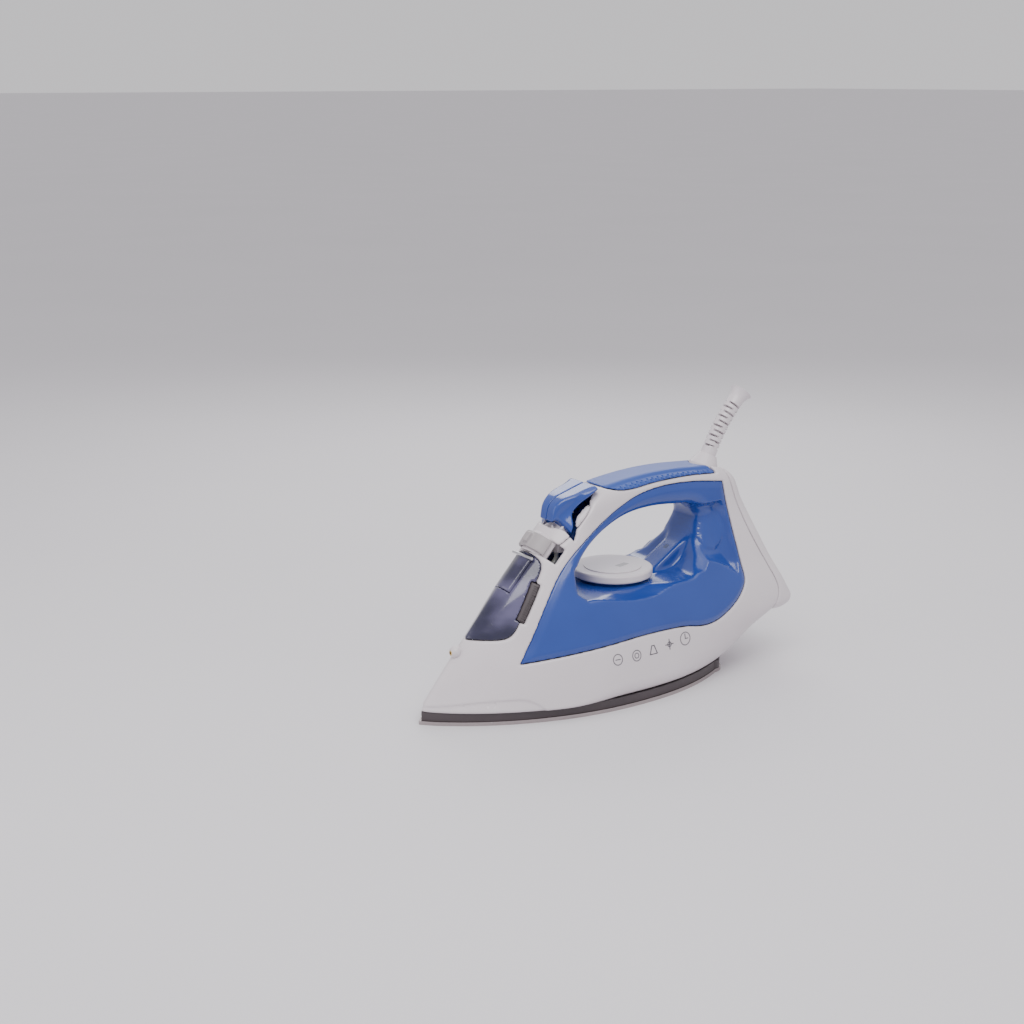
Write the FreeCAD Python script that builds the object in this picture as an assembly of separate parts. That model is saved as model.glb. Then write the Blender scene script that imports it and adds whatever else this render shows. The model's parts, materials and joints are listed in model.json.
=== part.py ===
"""Steam iron, built as an assembly of separate parts.

Millimetres, +Z up, nose towards -X, heel towards +X, symmetric about Y = 0.
Every part is drawn with X measured back from the tip of the soleplate.  The last step
moves them all together, so that the origin is the middle of the iron's footprint.
"""
import FreeCAD, Part
import math
import os
from FreeCAD import Vector

# ---------------------------------------------------------------- overall sizes
BODY_LENGTH = 285.0          # tip of the soleplate to the heel
BODY_HEIGHT = 142.5          # table to the top of the handle
BODY_WIDTH = 112.0           # across the skirt
SOLE_LENGTH = 230.0
SOLE_WIDTH = 106.0

# ---------------------------------------------------------------- walls and clearances
WALL = 2.6                   # moulded housing wall
TANK_WALL = 2.0
FIT_GAP = 0.3                # between pieces that move past each other
RUNNING_GAP = 0.08           # radial, shaft in bore
SEAT_GAP = 0.4               # round a piece that lies inside a housing

# ---------------------------------------------------------------- sole stack, heights
SOLE_THICKNESS = 2.5
SKIRT_BOTTOM = 8.0
CASTING_TOP = 9.0
SHIELD_INSET = 1.2
SHIELD_WALL = 2.4
SHIELD_TOP = 14.0
CHAMBER_WALL = 3.0
CHAMBER_TOP = 18.0
CHAMBER_COVER = 1.5
HEAT_SHEET_BOTTOM = 25.0
HEAT_SHEET = 0.8
ELEMENT_RADIUS = 3.5
ELEMENT_HALF_SPAN = 29.0
STEAM_HOLE_RADIUS = 1.5

# ---------------------------------------------------------------- controls
DIAL_RADIUS = 27.0
DIAL_THICKNESS = 5.6
DIAL_CAP_RADIUS = 19.5
DIAL_CAP_THICKNESS = 1.0
SPINDLE_RADIUS = 3.0
LEVER_LENGTH = 11.0          # along the ridge
LEVER_THICKNESS = 2.6
LEVER_HALF_ANGLE = 62.0
LEVER_SWING = 20.0
CAM_RADIUS = 6.0
CAM_LENGTH = 8.0
NECK_RADIUS = 13.0           # drum that the lever rides on
NECK_SINK = 0.6              # the drum below the ridge line
NOZZLE_RADIUS = 4.0
ROD_RADIUS = 2.0
ROD_LIFT = 1.5               # each way from the half-open place
BUTTON_TRAVEL = 3.5
BUTTON_SKIN = 2.2
PUMP_BORE = 3.7
PUMP_WALL = 1.1
PUMP_SPREAD = 5.6            # from the middle plane to each pump's axis
STEM_RADIUS = 1.6
SPRING_WIRE = 0.35
DOOR_THICKNESS = 2.6
DOOR_HALF_WIDTH = 8.0
DOOR_PIN_RADIUS = 1.0

# ---------------------------------------------------------------- cord outlet
CORD_BORE = 3.4
GUARD_LENGTH = 52.0
GUARD_BASE_LEAN = 26.0
GUARD_TIP_LEAN = 43.0
GUARD_RADIUS = 5.4
GUARD_FLARE = 8.0
GUARD_ROWS = 10
GUARD_PITCH = 3.6            # between slot rows
GUARD_SLOT = 1.5
GUARD_BRIDGE = 1.3           # half width of the wall left between two slots
GUARD_ROOT = 6.0             # straight length at the collar
GUARD_END = 9.0              # straight length at the tip
GUARD_SEAT = 2.0             # depth of the guard's socket in the collar
FLARE_LENGTH = 8.0
COLLAR_RADIUS = 10.5
COLLAR_HEIGHT = 9.0
SCREW_RADIUS = 1.5
SCREW_HEAD = 3.0

# ---------------------------------------------------------------- drawn proportions
# The side view and the widths were drawn for an iron of these sizes.  side() and
# across() carry a drawn place to the sizes above.
DRAWN_LENGTH = 285.0
DRAWN_HEIGHT = 142.5
DRAWN_WIDTH = 112.0
FAR = 200.0                  # beyond any face, for cutting tools
LOW = -10.0                  # below the soleplate, for cutting tools

# Height, ridge X, X of the widest place, half width, nose roundness, narrowing at the back
LEVELS = (
    (8, 1.0, 135, 56.0, 1.20, 1.40),
    (26, 15.0, 135, 52.5, 1.15, 0.58),
    (45, 31.0, 135, 48.0, 1.15, 0.16),
    (60, 44.0, 130, 42.0, 1.20, 0.10),
    (77, 58.5, 120, 33.0, 1.35, 0.06),
    (100, 79.0, 115, 24.5, 1.70, 0.00),
    (120, 98.0, 120, 19.5, 2.00, 0.00),
    (142, 119.0, 140, 17.8, 2.00, 0.00),
    (156, 132.0, 153, 17.8, 2.00, 0.00),
)
BACK_SPAN = 150.0

# Side-view outlines: (X, Z, smooth).  A smooth point lies on a curve, the rest are corners.
SILHOUETTE = (
    (-6, 8, 0), (88, 112.3, 0), (97, 121.5, 1), (112, 130.5, 1), (134, 137, 1), (156, 140.6, 1),
    (184, 142.5, 1), (214, 141.5, 1), (238, 138.5, 1), (248, 132, 1), (254, 116, 1),
    (264, 92, 1), (274, 69, 1), (281.5, 53, 1), (285, 45.5, 1), (283, 39, 1), (276, 36, 1),
    (265, 37.5, 0), (250, 27, 1), (234, 10.5, 0), (232, 8, 0),
)
BLUE_PANEL = (
    (59.5, 36.6, 0), (70, 52, 1), (84, 74, 1), (95, 89, 1), (107, 101, 1), (121, 111, 1),
    (141, 122.5, 1), (159, 130, 1), (178, 133.5, 1), (206, 133.5, 1), (235, 130.0, 0),
    (239, 104, 1), (241.5, 74, 1), (240.5, 63, 1), (233, 54.5, 1), (219, 46.5, 1), (206, 42.3, 1),
    (194, 42, 1), (182, 44, 1), (162, 45, 1), (136, 44.5, 1), (110, 42.5, 1), (82, 39.5, 1),
)
OPENING = (
    (103.5, 76, 0), (107.5, 88, 1), (114, 97, 1), (124, 105, 1), (139, 113, 1), (154, 118, 1),
    (172, 120, 1), (194, 119, 1), (211, 116, 1), (217, 108, 1), (214.5, 98, 1),
    (210.5, 88, 1), (206, 79, 1), (199, 73, 1), (191, 71.5, 0), (109, 71.5, 0),
)
WINDOW = (
    (20, 50, 0), (56, 51.5, 1), (61.5, 55.5, 1), (66.5, 62.6, 1), (73, 72.6, 1), (79.6, 82.6, 1),
    (86.5, 94.5, 1), (85, 99.5, 1), (77, 103.5, 0), (60, 112, 0),
)
GRIP_EDGE = (
    (127, 160, 0), (128.5, 141, 0), (136, 138.2, 1), (146, 136.8, 1), (158, 137.2, 1),
    (176, 138.4, 1), (204, 138.2, 1), (231, 136, 0), (220, 160, 0),
)
REAR_SEAM = (
    (300, 160, 0), (239, 160, 0), (240, 137, 0), (246, 116, 1), (255, 92, 1), (265, 69, 1),
    (270, 52, 1), (262, 36, 0), (262, 20, 0), (300, 20, 0),
)
COVER_SEAM = (
    (60, 160, 0), (60, 96, 0), (79, 103.6, 0), (86.5, 100.5, 0), (96, 104, 1), (108, 112, 1),
    (117, 120.5, 1), (125, 130, 1), (130, 142, 0), (130, 160, 0),
)
BUTTON_SIDE = (
    (99.3, 119, 0), (101.5, 128.5, 1), (106.5, 133.3, 1), (117, 136.8, 1), (130, 140.6, 0),
    (131, 138.3, 0), (124, 133.5, 1), (117, 128.8, 1), (112.5, 124, 1), (110.5, 116.5, 1),
    (108, 112, 0), (104.5, 118.5, 1), (101.5, 119.5, 1),
)
DIAL_X = 155.0
DECK_Z = 71.5
LEVER_Z = 108.5
ROD_X = 93.0
PUMP_X = 106.0
COLLAR_X = 233.0
COLLAR_Z = 137.0

PIECES = {}


# ---------------------------------------------------------------- from drawn to real sizes
def along(x):
    return x * BODY_LENGTH / DRAWN_LENGTH


def up(z):
    """Heights stay as drawn below the skirt's edge and stretch above it."""
    if z <= SKIRT_BOTTOM:
        return z
    return SKIRT_BOTTOM + (z - SKIRT_BOTTOM) * (BODY_HEIGHT - SKIRT_BOTTOM) / (DRAWN_HEIGHT - SKIRT_BOTTOM)


def across(y):
    return y * BODY_WIDTH / DRAWN_WIDTH


def table(z, column):
    """One column of LEVELS at a drawn height, along a smooth curve through the rows."""
    heights = [row[0] for row in LEVELS]
    values = [row[column] for row in LEVELS]
    last = len(LEVELS) - 2
    i = max(0, min(last, sum(1 for h in heights if h <= z) - 1))
    gaps = [heights[k + 1] - heights[k] for k in range(last + 1)]
    rises = [(values[k + 1] - values[k]) / gaps[k] for k in range(last + 1)]
    slopes = [rises[0]]
    for k in range(last):
        same_way = rises[k] * rises[k + 1] > 0
        slopes.append(2 * rises[k] * rises[k + 1] / (rises[k] + rises[k + 1]) if same_way else 0.0)
    slopes.append(rises[-1])
    t = (z - heights[i]) / gaps[i]
    start = values[i] * (1 + 2 * t) * (1 - t) ** 2 + slopes[i] * gaps[i] * t * (1 - t) ** 2
    end = values[i + 1] * t * t * (3 - 2 * t) + slopes[i + 1] * gaps[i] * t * t * (t - 1)
    return start + end


def half_width(x, z, inset=0.0):
    """Half width of the body at a drawn place, before the silhouette trims it."""
    ridge = table(z, 1) + 1.9 * inset
    widest = table(z, 2)
    width = table(z, 3) - inset
    s = min(1.0, max(0.0, (x - ridge) / (widest - ridge)))
    if x < widest:
        return width * (1 - (1 - s) ** 2) ** (1 / table(z, 4))
    t = (x - widest) / BACK_SPAN
    return width * (1 - table(z, 5) * t ** 2.5)


# ---------------------------------------------------------------- drawing helpers
def curve(points):
    if len(points) == 2:
        return Part.LineSegment(points[0], points[1]).toShape()
    spline = Part.BSplineCurve()
    spline.interpolate(points)
    return spline.toShape()


def outline_wire(points):
    """A closed wire through (Vector, smooth) pairs; it starts at a corner."""
    edges = []
    run = [points[0][0]]
    for place, smooth in points[1:] + points[:1]:
        run.append(place)
        if not smooth:
            edges.append(curve(run))
            run = [place]
    return Part.Wire(edges)


def grown(points, distance):
    """The outline with each point moved outwards by distance."""
    area = 0.0
    count = len(points)
    for i in range(count):
        a = points[i]
        b = points[(i + 1) % count]
        area += a[0] * b[1] - b[0] * a[1]
    turn = 1.0 if area > 0 else -1.0
    moved = []
    for i in range(count):
        before = points[i - 1]
        here = points[i]
        after = points[(i + 1) % count]
        a = Vector(here[0] - before[0], 0, here[1] - before[1]).normalize()
        b = Vector(after[0] - here[0], 0, after[1] - here[1]).normalize()
        normal = Vector(a.z + b.z, 0, -a.x - b.x).normalize()
        reach = distance / max(0.5, normal.x * a.z - normal.z * a.x)
        moved.append((here[0] + turn * normal.x * reach, here[1] + turn * normal.z * reach, here[2]))
    return moved


def side_prism(points, half=FAR, grow=0.0):
    """A side-view outline pushed across the iron from -half to +half."""
    real = [(along(x), up(z), smooth) for x, z, smooth in points]
    if grow:
        real = grown(real, grow)
    places = [(Vector(x, -half, z), smooth) for x, z, smooth in real]
    return Part.Face(outline_wire(places)).extrude(Vector(0, 2 * half, 0))


def section_wire(z, inset):
    """The body's outline at one drawn height, closed well behind the heel."""
    ridge = table(z, 1) + 1.9 * inset
    widest = table(z, 2)
    count = 9
    xs = [ridge + (widest - ridge) * (1 - math.cos(math.pi * k / (2 * count))) for k in range(count + 1)]
    xs += [widest + (300 - widest) * k / 5 for k in range(1, 6)]
    side = [(x, half_width(x, z, inset)) for x in xs]
    loop = [(x, -y) for x, y in reversed(side)] + side[1:]
    places = [Vector(along(x), across(y), up(z)) for x, y in loop]
    return Part.Wire([curve(places), curve([places[-1], places[0]])])


def loft_solid(inset):
    """The body's form from its skirt to above the handle, before the silhouette trims it."""
    heights = [SKIRT_BOTTOM] + list(range(16, 160, 10))
    return Part.makeLoft([section_wire(z, inset) for z in heights], True, False)


def body_solid(inset=0.0):
    return loft_solid(inset).common(side_prism(SILHOUETTE, grow=-inset))


def hollow_solid(inset):
    """The same form moved inwards by inset, open through the bottom."""
    top = SKIRT_BOTTOM + 2 * inset
    below = ((-6, LOW, 0), (-6, top, 0), (232 - 1.2 * inset, top, 0), (232 - 1.2 * inset, LOW, 0))
    trim = side_prism(SILHOUETTE, grow=-inset).fuse(side_prism(below))
    foot = Part.Face(section_wire(SKIRT_BOTTOM, inset)).extrude(Vector(0, 0, LOW - SKIRT_BOTTOM))
    return loft_solid(inset).fuse(foot).common(trim)


def sole_half_width(x, inset):
    """Half width of the soleplate at a real X."""
    tip = along(1.5) + 1.6 * inset
    widest = along(135)
    width = SOLE_WIDTH / 2 - inset
    if x < widest:
        s = (x - tip) / (widest - tip)
        return width * (1 - (1 - s) ** 2) ** (1 / 1.15)
    t = (x - widest) / (SOLE_LENGTH - widest)
    return width * (1 - 0.46 * t ** 2.4)


def sole_face(inset, z):
    """The soleplate's outline moved inwards by inset, as a face at height z."""
    corner = 11.0
    tip = along(1.5) + 1.6 * inset
    end = SOLE_LENGTH - inset
    last = end - corner
    count = 14
    xs = [tip + (last - tip) * (1 - math.cos(math.pi * k / (2 * count))) for k in range(count + 1)]
    side = [(x, sole_half_width(x, inset)) for x in xs[1:]]
    loop = [(x, -y) for x, y in reversed(side)] + [(tip, 0.0)] + side
    places = [Vector(x, y, z) for x, y in loop]
    width = sole_half_width(last, inset)
    bend = corner * math.sqrt(0.5)
    left_middle = Vector(last + bend, -(width - corner + bend), z)
    left = Part.Arc(places[0], left_middle, Vector(end, -(width - corner), z))
    right_middle = Vector(last + bend, width - corner + bend, z)
    right = Part.Arc(Vector(end, width - corner, z), right_middle, places[-1])
    back = Part.LineSegment(Vector(end, -(width - corner), z), Vector(end, width - corner, z))
    return Part.Face(Part.Wire([curve(places), right.toShape(), back.toShape(), left.toShape()]))


def plate(inset, low, high):
    return sole_face(inset, low).extrude(Vector(0, 0, high - low))


def box(x0, x1, y0, y1, z0, z1):
    return Part.makeBox(x1 - x0, y1 - y0, z1 - z0, Vector(x0, y0, z0))


def rod(x, y, z0, z1, radius):
    return Part.makeCylinder(radius, z1 - z0, Vector(x, y, z0))


def stadium(x0, x1, half, z0, z1):
    """An upright slab with round ends, from x0 to x1."""
    ends = [rod(x, 0, z0, z1, half) for x in (x0 + half, x1 - half)]
    return box(x0 + half, x1 - half, -half, half, z0, z1).fuse(ends)


def tube_along(points, radius, bend):
    """A round tube through points, with an arc of radius bend at each turn."""
    edges = []
    start = points[0]
    for i in range(1, len(points) - 1):
        into = (points[i] - points[i - 1]).normalize()
        out = (points[i + 1] - points[i]).normalize()
        turn = math.acos(max(-1.0, min(1.0, into.dot(out))))
        trim = bend * math.tan(turn / 2)
        first = points[i] - into * trim
        second = points[i] + out * trim
        inward = (out - into).normalize()
        middle = points[i] + inward * (bend / math.cos(turn / 2) - bend)
        edges.append(Part.LineSegment(start, first).toShape())
        edges.append(Part.Arc(first, middle, second).toShape())
        start = second
    edges.append(Part.LineSegment(start, points[-1]).toShape())
    path = Part.Wire(edges)
    ring = Part.Wire(Part.Circle(points[0], points[1] - points[0], radius).toShape())
    return path.makePipeShell([ring], True, False)


def coil(x, y, z0, z1, radius, turns):
    """A compression spring with its wire's middle at radius."""
    height = z1 - z0 - 2 * SPRING_WIRE
    helix = Part.makeHelix(height / turns, height, radius)
    ring = Part.Wire(Part.Circle(Vector(radius, 0, 0), Vector(0, 1, 0), SPRING_WIRE).toShape())
    spring = Part.Wire(helix).makePipeShell([ring], True, True)
    spring.translate(Vector(x, y, z0 + SPRING_WIRE))
    return spring


def add(name, shape):
    PIECES[name] = shape
    print(name, shape.ShapeType, len(shape.Solids), round(shape.Volume), shape.isValid(), flush=True)



# ---------------------------------------------------------------- the ridge's own frame
RIDGE_UP = Vector(along(79.0) - along(58.5), 0, up(100) - up(77)).normalize()
RIDGE_OUT = Vector(-RIDGE_UP.z, 0, RIDGE_UP.x)
LEVER_TOP = Vector(along(table(LEVER_Z, 1)), 0, up(LEVER_Z))
NECK_CENTRE = LEVER_TOP - RIDGE_OUT * (NECK_RADIUS + NECK_SINK)


def ridge_box(up0, up1, out0, out1, half):
    """A block set square to the ridge; up runs along it from the lever, out leaves it."""
    corner = LEVER_TOP + RIDGE_UP * up0 + RIDGE_OUT * out0 + Vector(0, -half, 0)
    a = RIDGE_UP * (up1 - up0)
    b = RIDGE_OUT * (out1 - out0)
    face = Part.Face(Part.makePolygon([corner, corner + a, corner + a + b, corner + b, corner]))
    return face.extrude(Vector(0, 2 * half, 0))


def ridge_cylinder(radius, length):
    """A cylinder round the neck's axis, centred on the lever's place."""
    return Part.makeCylinder(radius, length, NECK_CENTRE - RIDGE_UP * (length / 2), RIDGE_UP)


def ridge_sector(outer_radius, inner_radius, length, half_angle):
    """A saddle round the neck, spreading half_angle each way from the top of the ridge."""
    ring = ridge_cylinder(outer_radius, length).cut(ridge_cylinder(inner_radius, length + 2))
    reach = 3 * outer_radius
    start = NECK_CENTRE - RIDGE_UP * (length / 2 + 1)
    places = [start]
    steps = 6
    for k in range(steps + 1):
        angle = math.radians(-half_angle + 2 * half_angle * k / steps)
        places.append(start + RIDGE_OUT * (reach * math.cos(angle)) + Vector(0, reach * math.sin(angle), 0))
    wedge = Part.Face(Part.makePolygon(places + [start])).extrude(RIDGE_UP * (length + 2))
    return ring.common(wedge)


# ---------------------------------------------------------------- shared zones
def one(shape):
    """A boolean's result as a plain solid where it holds only one."""
    return shape.Solids[0] if len(shape.Solids) == 1 else Part.makeCompound(shape.Solids)


def largest(shape):
    """The main solid of a casing, without the slivers that two meeting outlines leave."""
    return max(shape.Solids, key=lambda solid: solid.Volume)


outer = body_solid()
inner = hollow_solid(WALL)
blue_zone = side_prism(BLUE_PANEL)
opening = side_prism(OPENING)
opening_wall = side_prism(OPENING, grow=WALL)
window_zone = side_prism(WINDOW)
grip_zone = side_prism(GRIP_EDGE)
rear_zone = side_prism(REAR_SEAM)
cover_zone = side_prism(COVER_SEAM).cut(window_zone)
shell = outer.cut(inner.cut(opening_wall)).cut(opening)

lever_reach = LEVER_HALF_ANGLE + LEVER_SWING + 3.0
lever_channel = ridge_sector(3 * NECK_RADIUS, NECK_RADIUS, LEVER_LENGTH + 2 * FIT_GAP, lever_reach)
pump_x = along(PUMP_X)
rod_x = along(ROD_X)
dial_x = along(DIAL_X)
deck_z = up(DECK_Z)


# ---------------------------------------------------------------- buttons and the well they sink into
def button_well():
    """The space both buttons pass through on their way down."""
    spaces = [side_prism(BUTTON_SIDE, grow=FIT_GAP)]
    for share in (0.33, 0.67, 1.0):
        lower = spaces[0].copy()
        lower.translate(Vector(0, 0, -(BUTTON_TRAVEL + FIT_GAP) * share))
        spaces.append(lower)
    return spaces[0].fuse(spaces[1:])


def button_half(side):
    """One half of the button cap with its stem down to the pump."""
    cap = loft_solid(-BUTTON_SKIN).common(side_prism(BUTTON_SIDE)).cut(body_solid(-FIT_GAP))
    y_low = FIT_GAP / 2 if side > 0 else -FAR
    half = cap.common(box(0, FAR, y_low, y_low + FAR - FIT_GAP / 2, 0, FAR))
    stem_top = up(131.5)
    stem = rod(pump_x, side * PUMP_SPREAD, piston_top, stem_top, STEM_RADIUS)
    return one(half.fuse(stem))


pump_low = up(100.0)
pump_high = up(116.0)
piston_top = up(114.0)
piston_low = piston_top - 4.0
pump_floor = 1.2
well = button_well()
sunk = -(BUTTON_TRAVEL + FIT_GAP)
outer_sunk = outer.translated(Vector(0, 0, sunk))
inner_sunk = inner.translated(Vector(0, 0, sunk))

spray_button = button_half(-1)
burst_button = button_half(1)
add("spray_button", spray_button)
add("burst_button", burst_button)


# ---------------------------------------------------------------- fill door
DOOR_TOP = -9.0
DOOR_END = -37.5
PIN_UP = -11.2
PIN_OUT = -2.4
KNUCKLE = 2.1


def door_axis_rod(radius, half):
    centre = LEVER_TOP + RIDGE_UP * PIN_UP + RIDGE_OUT * PIN_OUT
    return Part.makeCylinder(radius, 2 * half, centre - Vector(0, half, 0), Vector(0, 1, 0))


door_strip = ridge_box(DOOR_END, DOOR_TOP, -DOOR_THICKNESS, 3.0, DOOR_HALF_WIDTH).common(outer)
fill_door = door_strip.fuse(door_axis_rod(KNUCKLE, DOOR_HALF_WIDTH))
notch = ridge_box(DOOR_END - 1, DOOR_END + 5.0, -0.9, 3.0, 3.5)
fill_door = fill_door.cut(notch).cut(door_axis_rod(DOOR_PIN_RADIUS + RUNNING_GAP, DOOR_HALF_WIDTH + 1))
door_space = ridge_box(DOOR_END - FIT_GAP, DOOR_TOP + FIT_GAP, -DOOR_THICKNESS - FIT_GAP, 3.0,
                       DOOR_HALF_WIDTH + FIT_GAP)
door_turn = math.hypot(DOOR_TOP - PIN_UP, PIN_OUT) + FIT_GAP
door_space = door_space.fuse(door_axis_rod(door_turn, DOOR_HALF_WIDTH + FIT_GAP))
MOUTH_HALF = 5.8
mouth = ridge_box(DOOR_END + 2.5, PIN_UP - 5.5, -22.0, 0.0, MOUTH_HALF)
seal_out = ridge_box(DOOR_END + 3.5, PIN_UP - 6.5, -DOOR_THICKNESS - 2.0, -DOOR_THICKNESS, MOUTH_HALF - 1.0)
seal_in = ridge_box(DOOR_END + 5.0, PIN_UP - 8.0, -DOOR_THICKNESS - 3.0, -DOOR_THICKNESS + 1,
                    MOUTH_HALF - 2.5)
add("fill_door", one(fill_door))
add("door_seal", one(seal_out.cut(seal_in)))
add("door_pin", door_axis_rod(DOOR_PIN_RADIUS, DOOR_HALF_WIDTH + 2.4))


# ---------------------------------------------------------------- tubes
TUBE_RADIUS = 1.5
SUCTION_RADIUS = 1.2
TUBE_BEND = 6.0
tube_start = pump_low - pump_floor
chamber_lid = CHAMBER_TOP + CHAMBER_COVER
nozzle_place = Vector(along(table(43, 1)), 0, up(43))


def spray_route():
    return [Vector(pump_x - 2, -PUMP_SPREAD, tube_start), Vector(pump_x - 2, -PUMP_SPREAD, up(94)),
            Vector(rod_x - 3, -PUMP_SPREAD, up(79)), Vector(rod_x - 3, -PUMP_SPREAD, up(60)),
            Vector(along(52), -1.5, up(45)), nozzle_place + Vector(4.5, 0, 0.6)]


def burst_route():
    return [Vector(pump_x - 2, PUMP_SPREAD, tube_start), Vector(pump_x - 2, PUMP_SPREAD, up(94)),
            Vector(rod_x - 3, 9.0, up(79)), Vector(rod_x - 3, 9.0, chamber_lid)]


def suction_route():
    return [Vector(pump_x - 2, PUMP_SPREAD + 3.8, tube_start), Vector(pump_x - 2, PUMP_SPREAD + 3.8, up(94)),
            Vector(rod_x + 0.5, 14.5, up(79)), Vector(rod_x + 0.5, 14.5, up(34))]


routes = {"spray_tube": (spray_route(), TUBE_RADIUS), "burst_tube": (burst_route(), TUBE_RADIUS),
          "suction_tube": (suction_route(), SUCTION_RADIUS)}
tube_spaces = []
for tube_name, (route, tube_radius) in routes.items():
    tube_bore = tube_along(route, tube_radius - 0.6, TUBE_BEND)
    add(tube_name, tube_along(route, tube_radius, TUBE_BEND).cut(tube_bore))
    tube_spaces.append(tube_along(route, tube_radius + 0.1, TUBE_BEND))


# ---------------------------------------------------------------- water tank
TANK_SIDE = ((26, 29, 0), (142, 29, 0), (142, 67, 0), (107, 67, 0), (98.5, 73, 0), (97.0, 84, 0), (50, 84, 0))
tank_inset = WALL + SEAT_GAP
tank_cavity_inset = tank_inset + TANK_WALL
level_zone = side_prism(((78.5, 85, 0), (82.3, 82.6, 0), (67.6, 60.2, 0), (64.0, 62.6, 0)))
level_bars = body_solid(-0.6).cut(body_solid(1.0)).common(level_zone)
cavity_form = hollow_solid(tank_cavity_inset)
window_skin = outer.common(window_zone).cut(cavity_form)
tank = hollow_solid(tank_inset).common(side_prism(TANK_SIDE)).fuse(window_skin)
tank_cavity = cavity_form.common(side_prism(TANK_SIDE, grow=-TANK_WALL))
lugs = ridge_box(PIN_UP - 2.6, PIN_UP + 2.6, PIN_OUT - 2.4, 0.0, DOOR_HALF_WIDTH + 2.6)
lugs = lugs.cut(ridge_box(PIN_UP - 3, PIN_UP + 3, -9, 1, DOOR_HALF_WIDTH + FIT_GAP)).common(outer)
tank = tank.fuse(lugs).cut(tank_cavity).cut([door_space, mouth, level_zone, lever_channel])
tank = tank.cut(door_axis_rod(DOOR_PIN_RADIUS, DOOR_HALF_WIDTH + 2.4))
rod_hole = rod(rod_x, 0, up(60), up(90), ROD_RADIUS + RUNNING_GAP)
outlet = rod(rod_x, 0, up(20), up(34), 4.0)
tank = tank.cut([rod_hole, outlet] + tube_spaces)
add("water_tank", one(tank))
add("level_bars", one(level_bars))


# ---------------------------------------------------------------- steam lever and valve
neck_length = LEVER_LENGTH + 2 * FIT_GAP
neck = ridge_sector(NECK_RADIUS, NECK_RADIUS - 1.6, neck_length + 3.0, lever_reach + 2)
neck_slot = ridge_sector(NECK_RADIUS + 1, CAM_RADIUS, 4.0 + 2 * FIT_GAP, LEVER_SWING + 14)
lever_in = NECK_RADIUS + FIT_GAP
lever_saddle = ridge_sector(lever_in + LEVER_THICKNESS, lever_in, LEVER_LENGTH, LEVER_HALF_ANGLE)
tab = ridge_box(-4.0, 4.5, -0.2, 5.6, 3.4)
cam = ridge_cylinder(CAM_RADIUS, CAM_LENGTH)
web = ridge_box(-2.0, 2.0, -NECK_RADIUS, 0.5, 2.0).cut(cam)
steam_lever = lever_saddle.fuse([tab, web])
add("steam_lever", one(steam_lever))
add("steam_cam", cam)

roof_top = up(84)
collar_low = roof_top + 5.6
seat_top = up(29) + 1.0
tip_low = seat_top + ROD_LIFT + 0.2
valve_tip_top = tip_low + 2.5
rod_collar = rod(rod_x, 0, collar_low, collar_low + 1.4, 3.2)
rod_shape = rod(rod_x, 0, valve_tip_top, up(84) + 9.0, ROD_RADIUS).fuse(rod_collar)
add("valve_rod", one(rod_shape))
seat = rod(rod_x, 0, chamber_lid, seat_top, 3.9).cut(rod(rod_x, 0, 0, 60, 1.2))
tip = Part.makeCone(1.6, ROD_RADIUS, valve_tip_top - tip_low, Vector(rod_x, 0, tip_low))
add("valve_tip", tip)
add("valve_seat", one(seat))
add("rod_spring", coil(rod_x, 0, roof_top, collar_low, ROD_RADIUS + 0.8, 3.5))
seal_ring = rod(rod_x, 0, up(29) - 1.2, up(29), 6.5).cut(rod(rod_x, 0, 0, 60, 4.0))
add("tank_seal", one(seal_ring))


# ---------------------------------------------------------------- pumps
def pump_barrel(side):
    return rod(pump_x, side * PUMP_SPREAD, tube_start, pump_high, PUMP_BORE + PUMP_WALL)


block = pump_barrel(-1).fuse(pump_barrel(1))
block = block.fuse(box(pump_x - 3, pump_x + 3, -PUMP_SPREAD, PUMP_SPREAD, tube_start, pump_high - 3))
block = block.fuse(box(pump_x - 4, pump_x + 4, 0, PUMP_SPREAD + 5.2, tube_start, tube_start + 3))
for side in (-1, 1):
    block = block.cut(rod(pump_x, side * PUMP_SPREAD, tube_start + pump_floor, pump_high + 1, PUMP_BORE))
block = block.cut(ridge_cylinder(CAM_RADIUS + FIT_GAP, CAM_LENGTH + 2 * FIT_GAP))
for side, use in ((-1, "spray"), (1, "burst")):
    y = side * PUMP_SPREAD
    add(use + "_piston", rod(pump_x, y, piston_low, piston_top, PUMP_BORE - RUNNING_GAP))
    add(use + "_spring", coil(pump_x, y, pump_low, piston_low, PUMP_BORE - 1.2, 5))

# ---------------------------------------------------------------- white front cover
rim_zone = one(side_prism(BUTTON_SIDE, grow=FIT_GAP + 1.4).fuse(
    side_prism(BUTTON_SIDE, grow=FIT_GAP + 1.4).translated(Vector(0, 0, sunk)))).cut(well)
rim = outer.cut(inner_sunk).common(rim_zone)
seat_skin = outer_sunk.cut(inner_sunk).common(well)
stem_holes = [rod(pump_x, side * PUMP_SPREAD, up(100), up(150), STEM_RADIUS + FIT_GAP) for side in (-1, 1)]
channel_ends = ridge_sector(2 * NECK_RADIUS, NECK_RADIUS - 1.6, neck_length + 3.0, lever_reach + 2)
channel_ends = channel_ends.cut(ridge_cylinder(2 * NECK_RADIUS + 1, neck_length))
channel_ends = channel_ends.common(inner.cut(opening_wall))
cover = shell.common(cover_zone).cut([lever_channel, well]).fuse([neck, rim, seat_skin, channel_ends])
cover = cover.cut([neck_slot, lever_channel, door_space] + stem_holes)
cover = cover.cut([grip_zone, window_zone])
add("front_cover", one(cover))
add("pump_block", one(block.cut(cover)))

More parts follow.
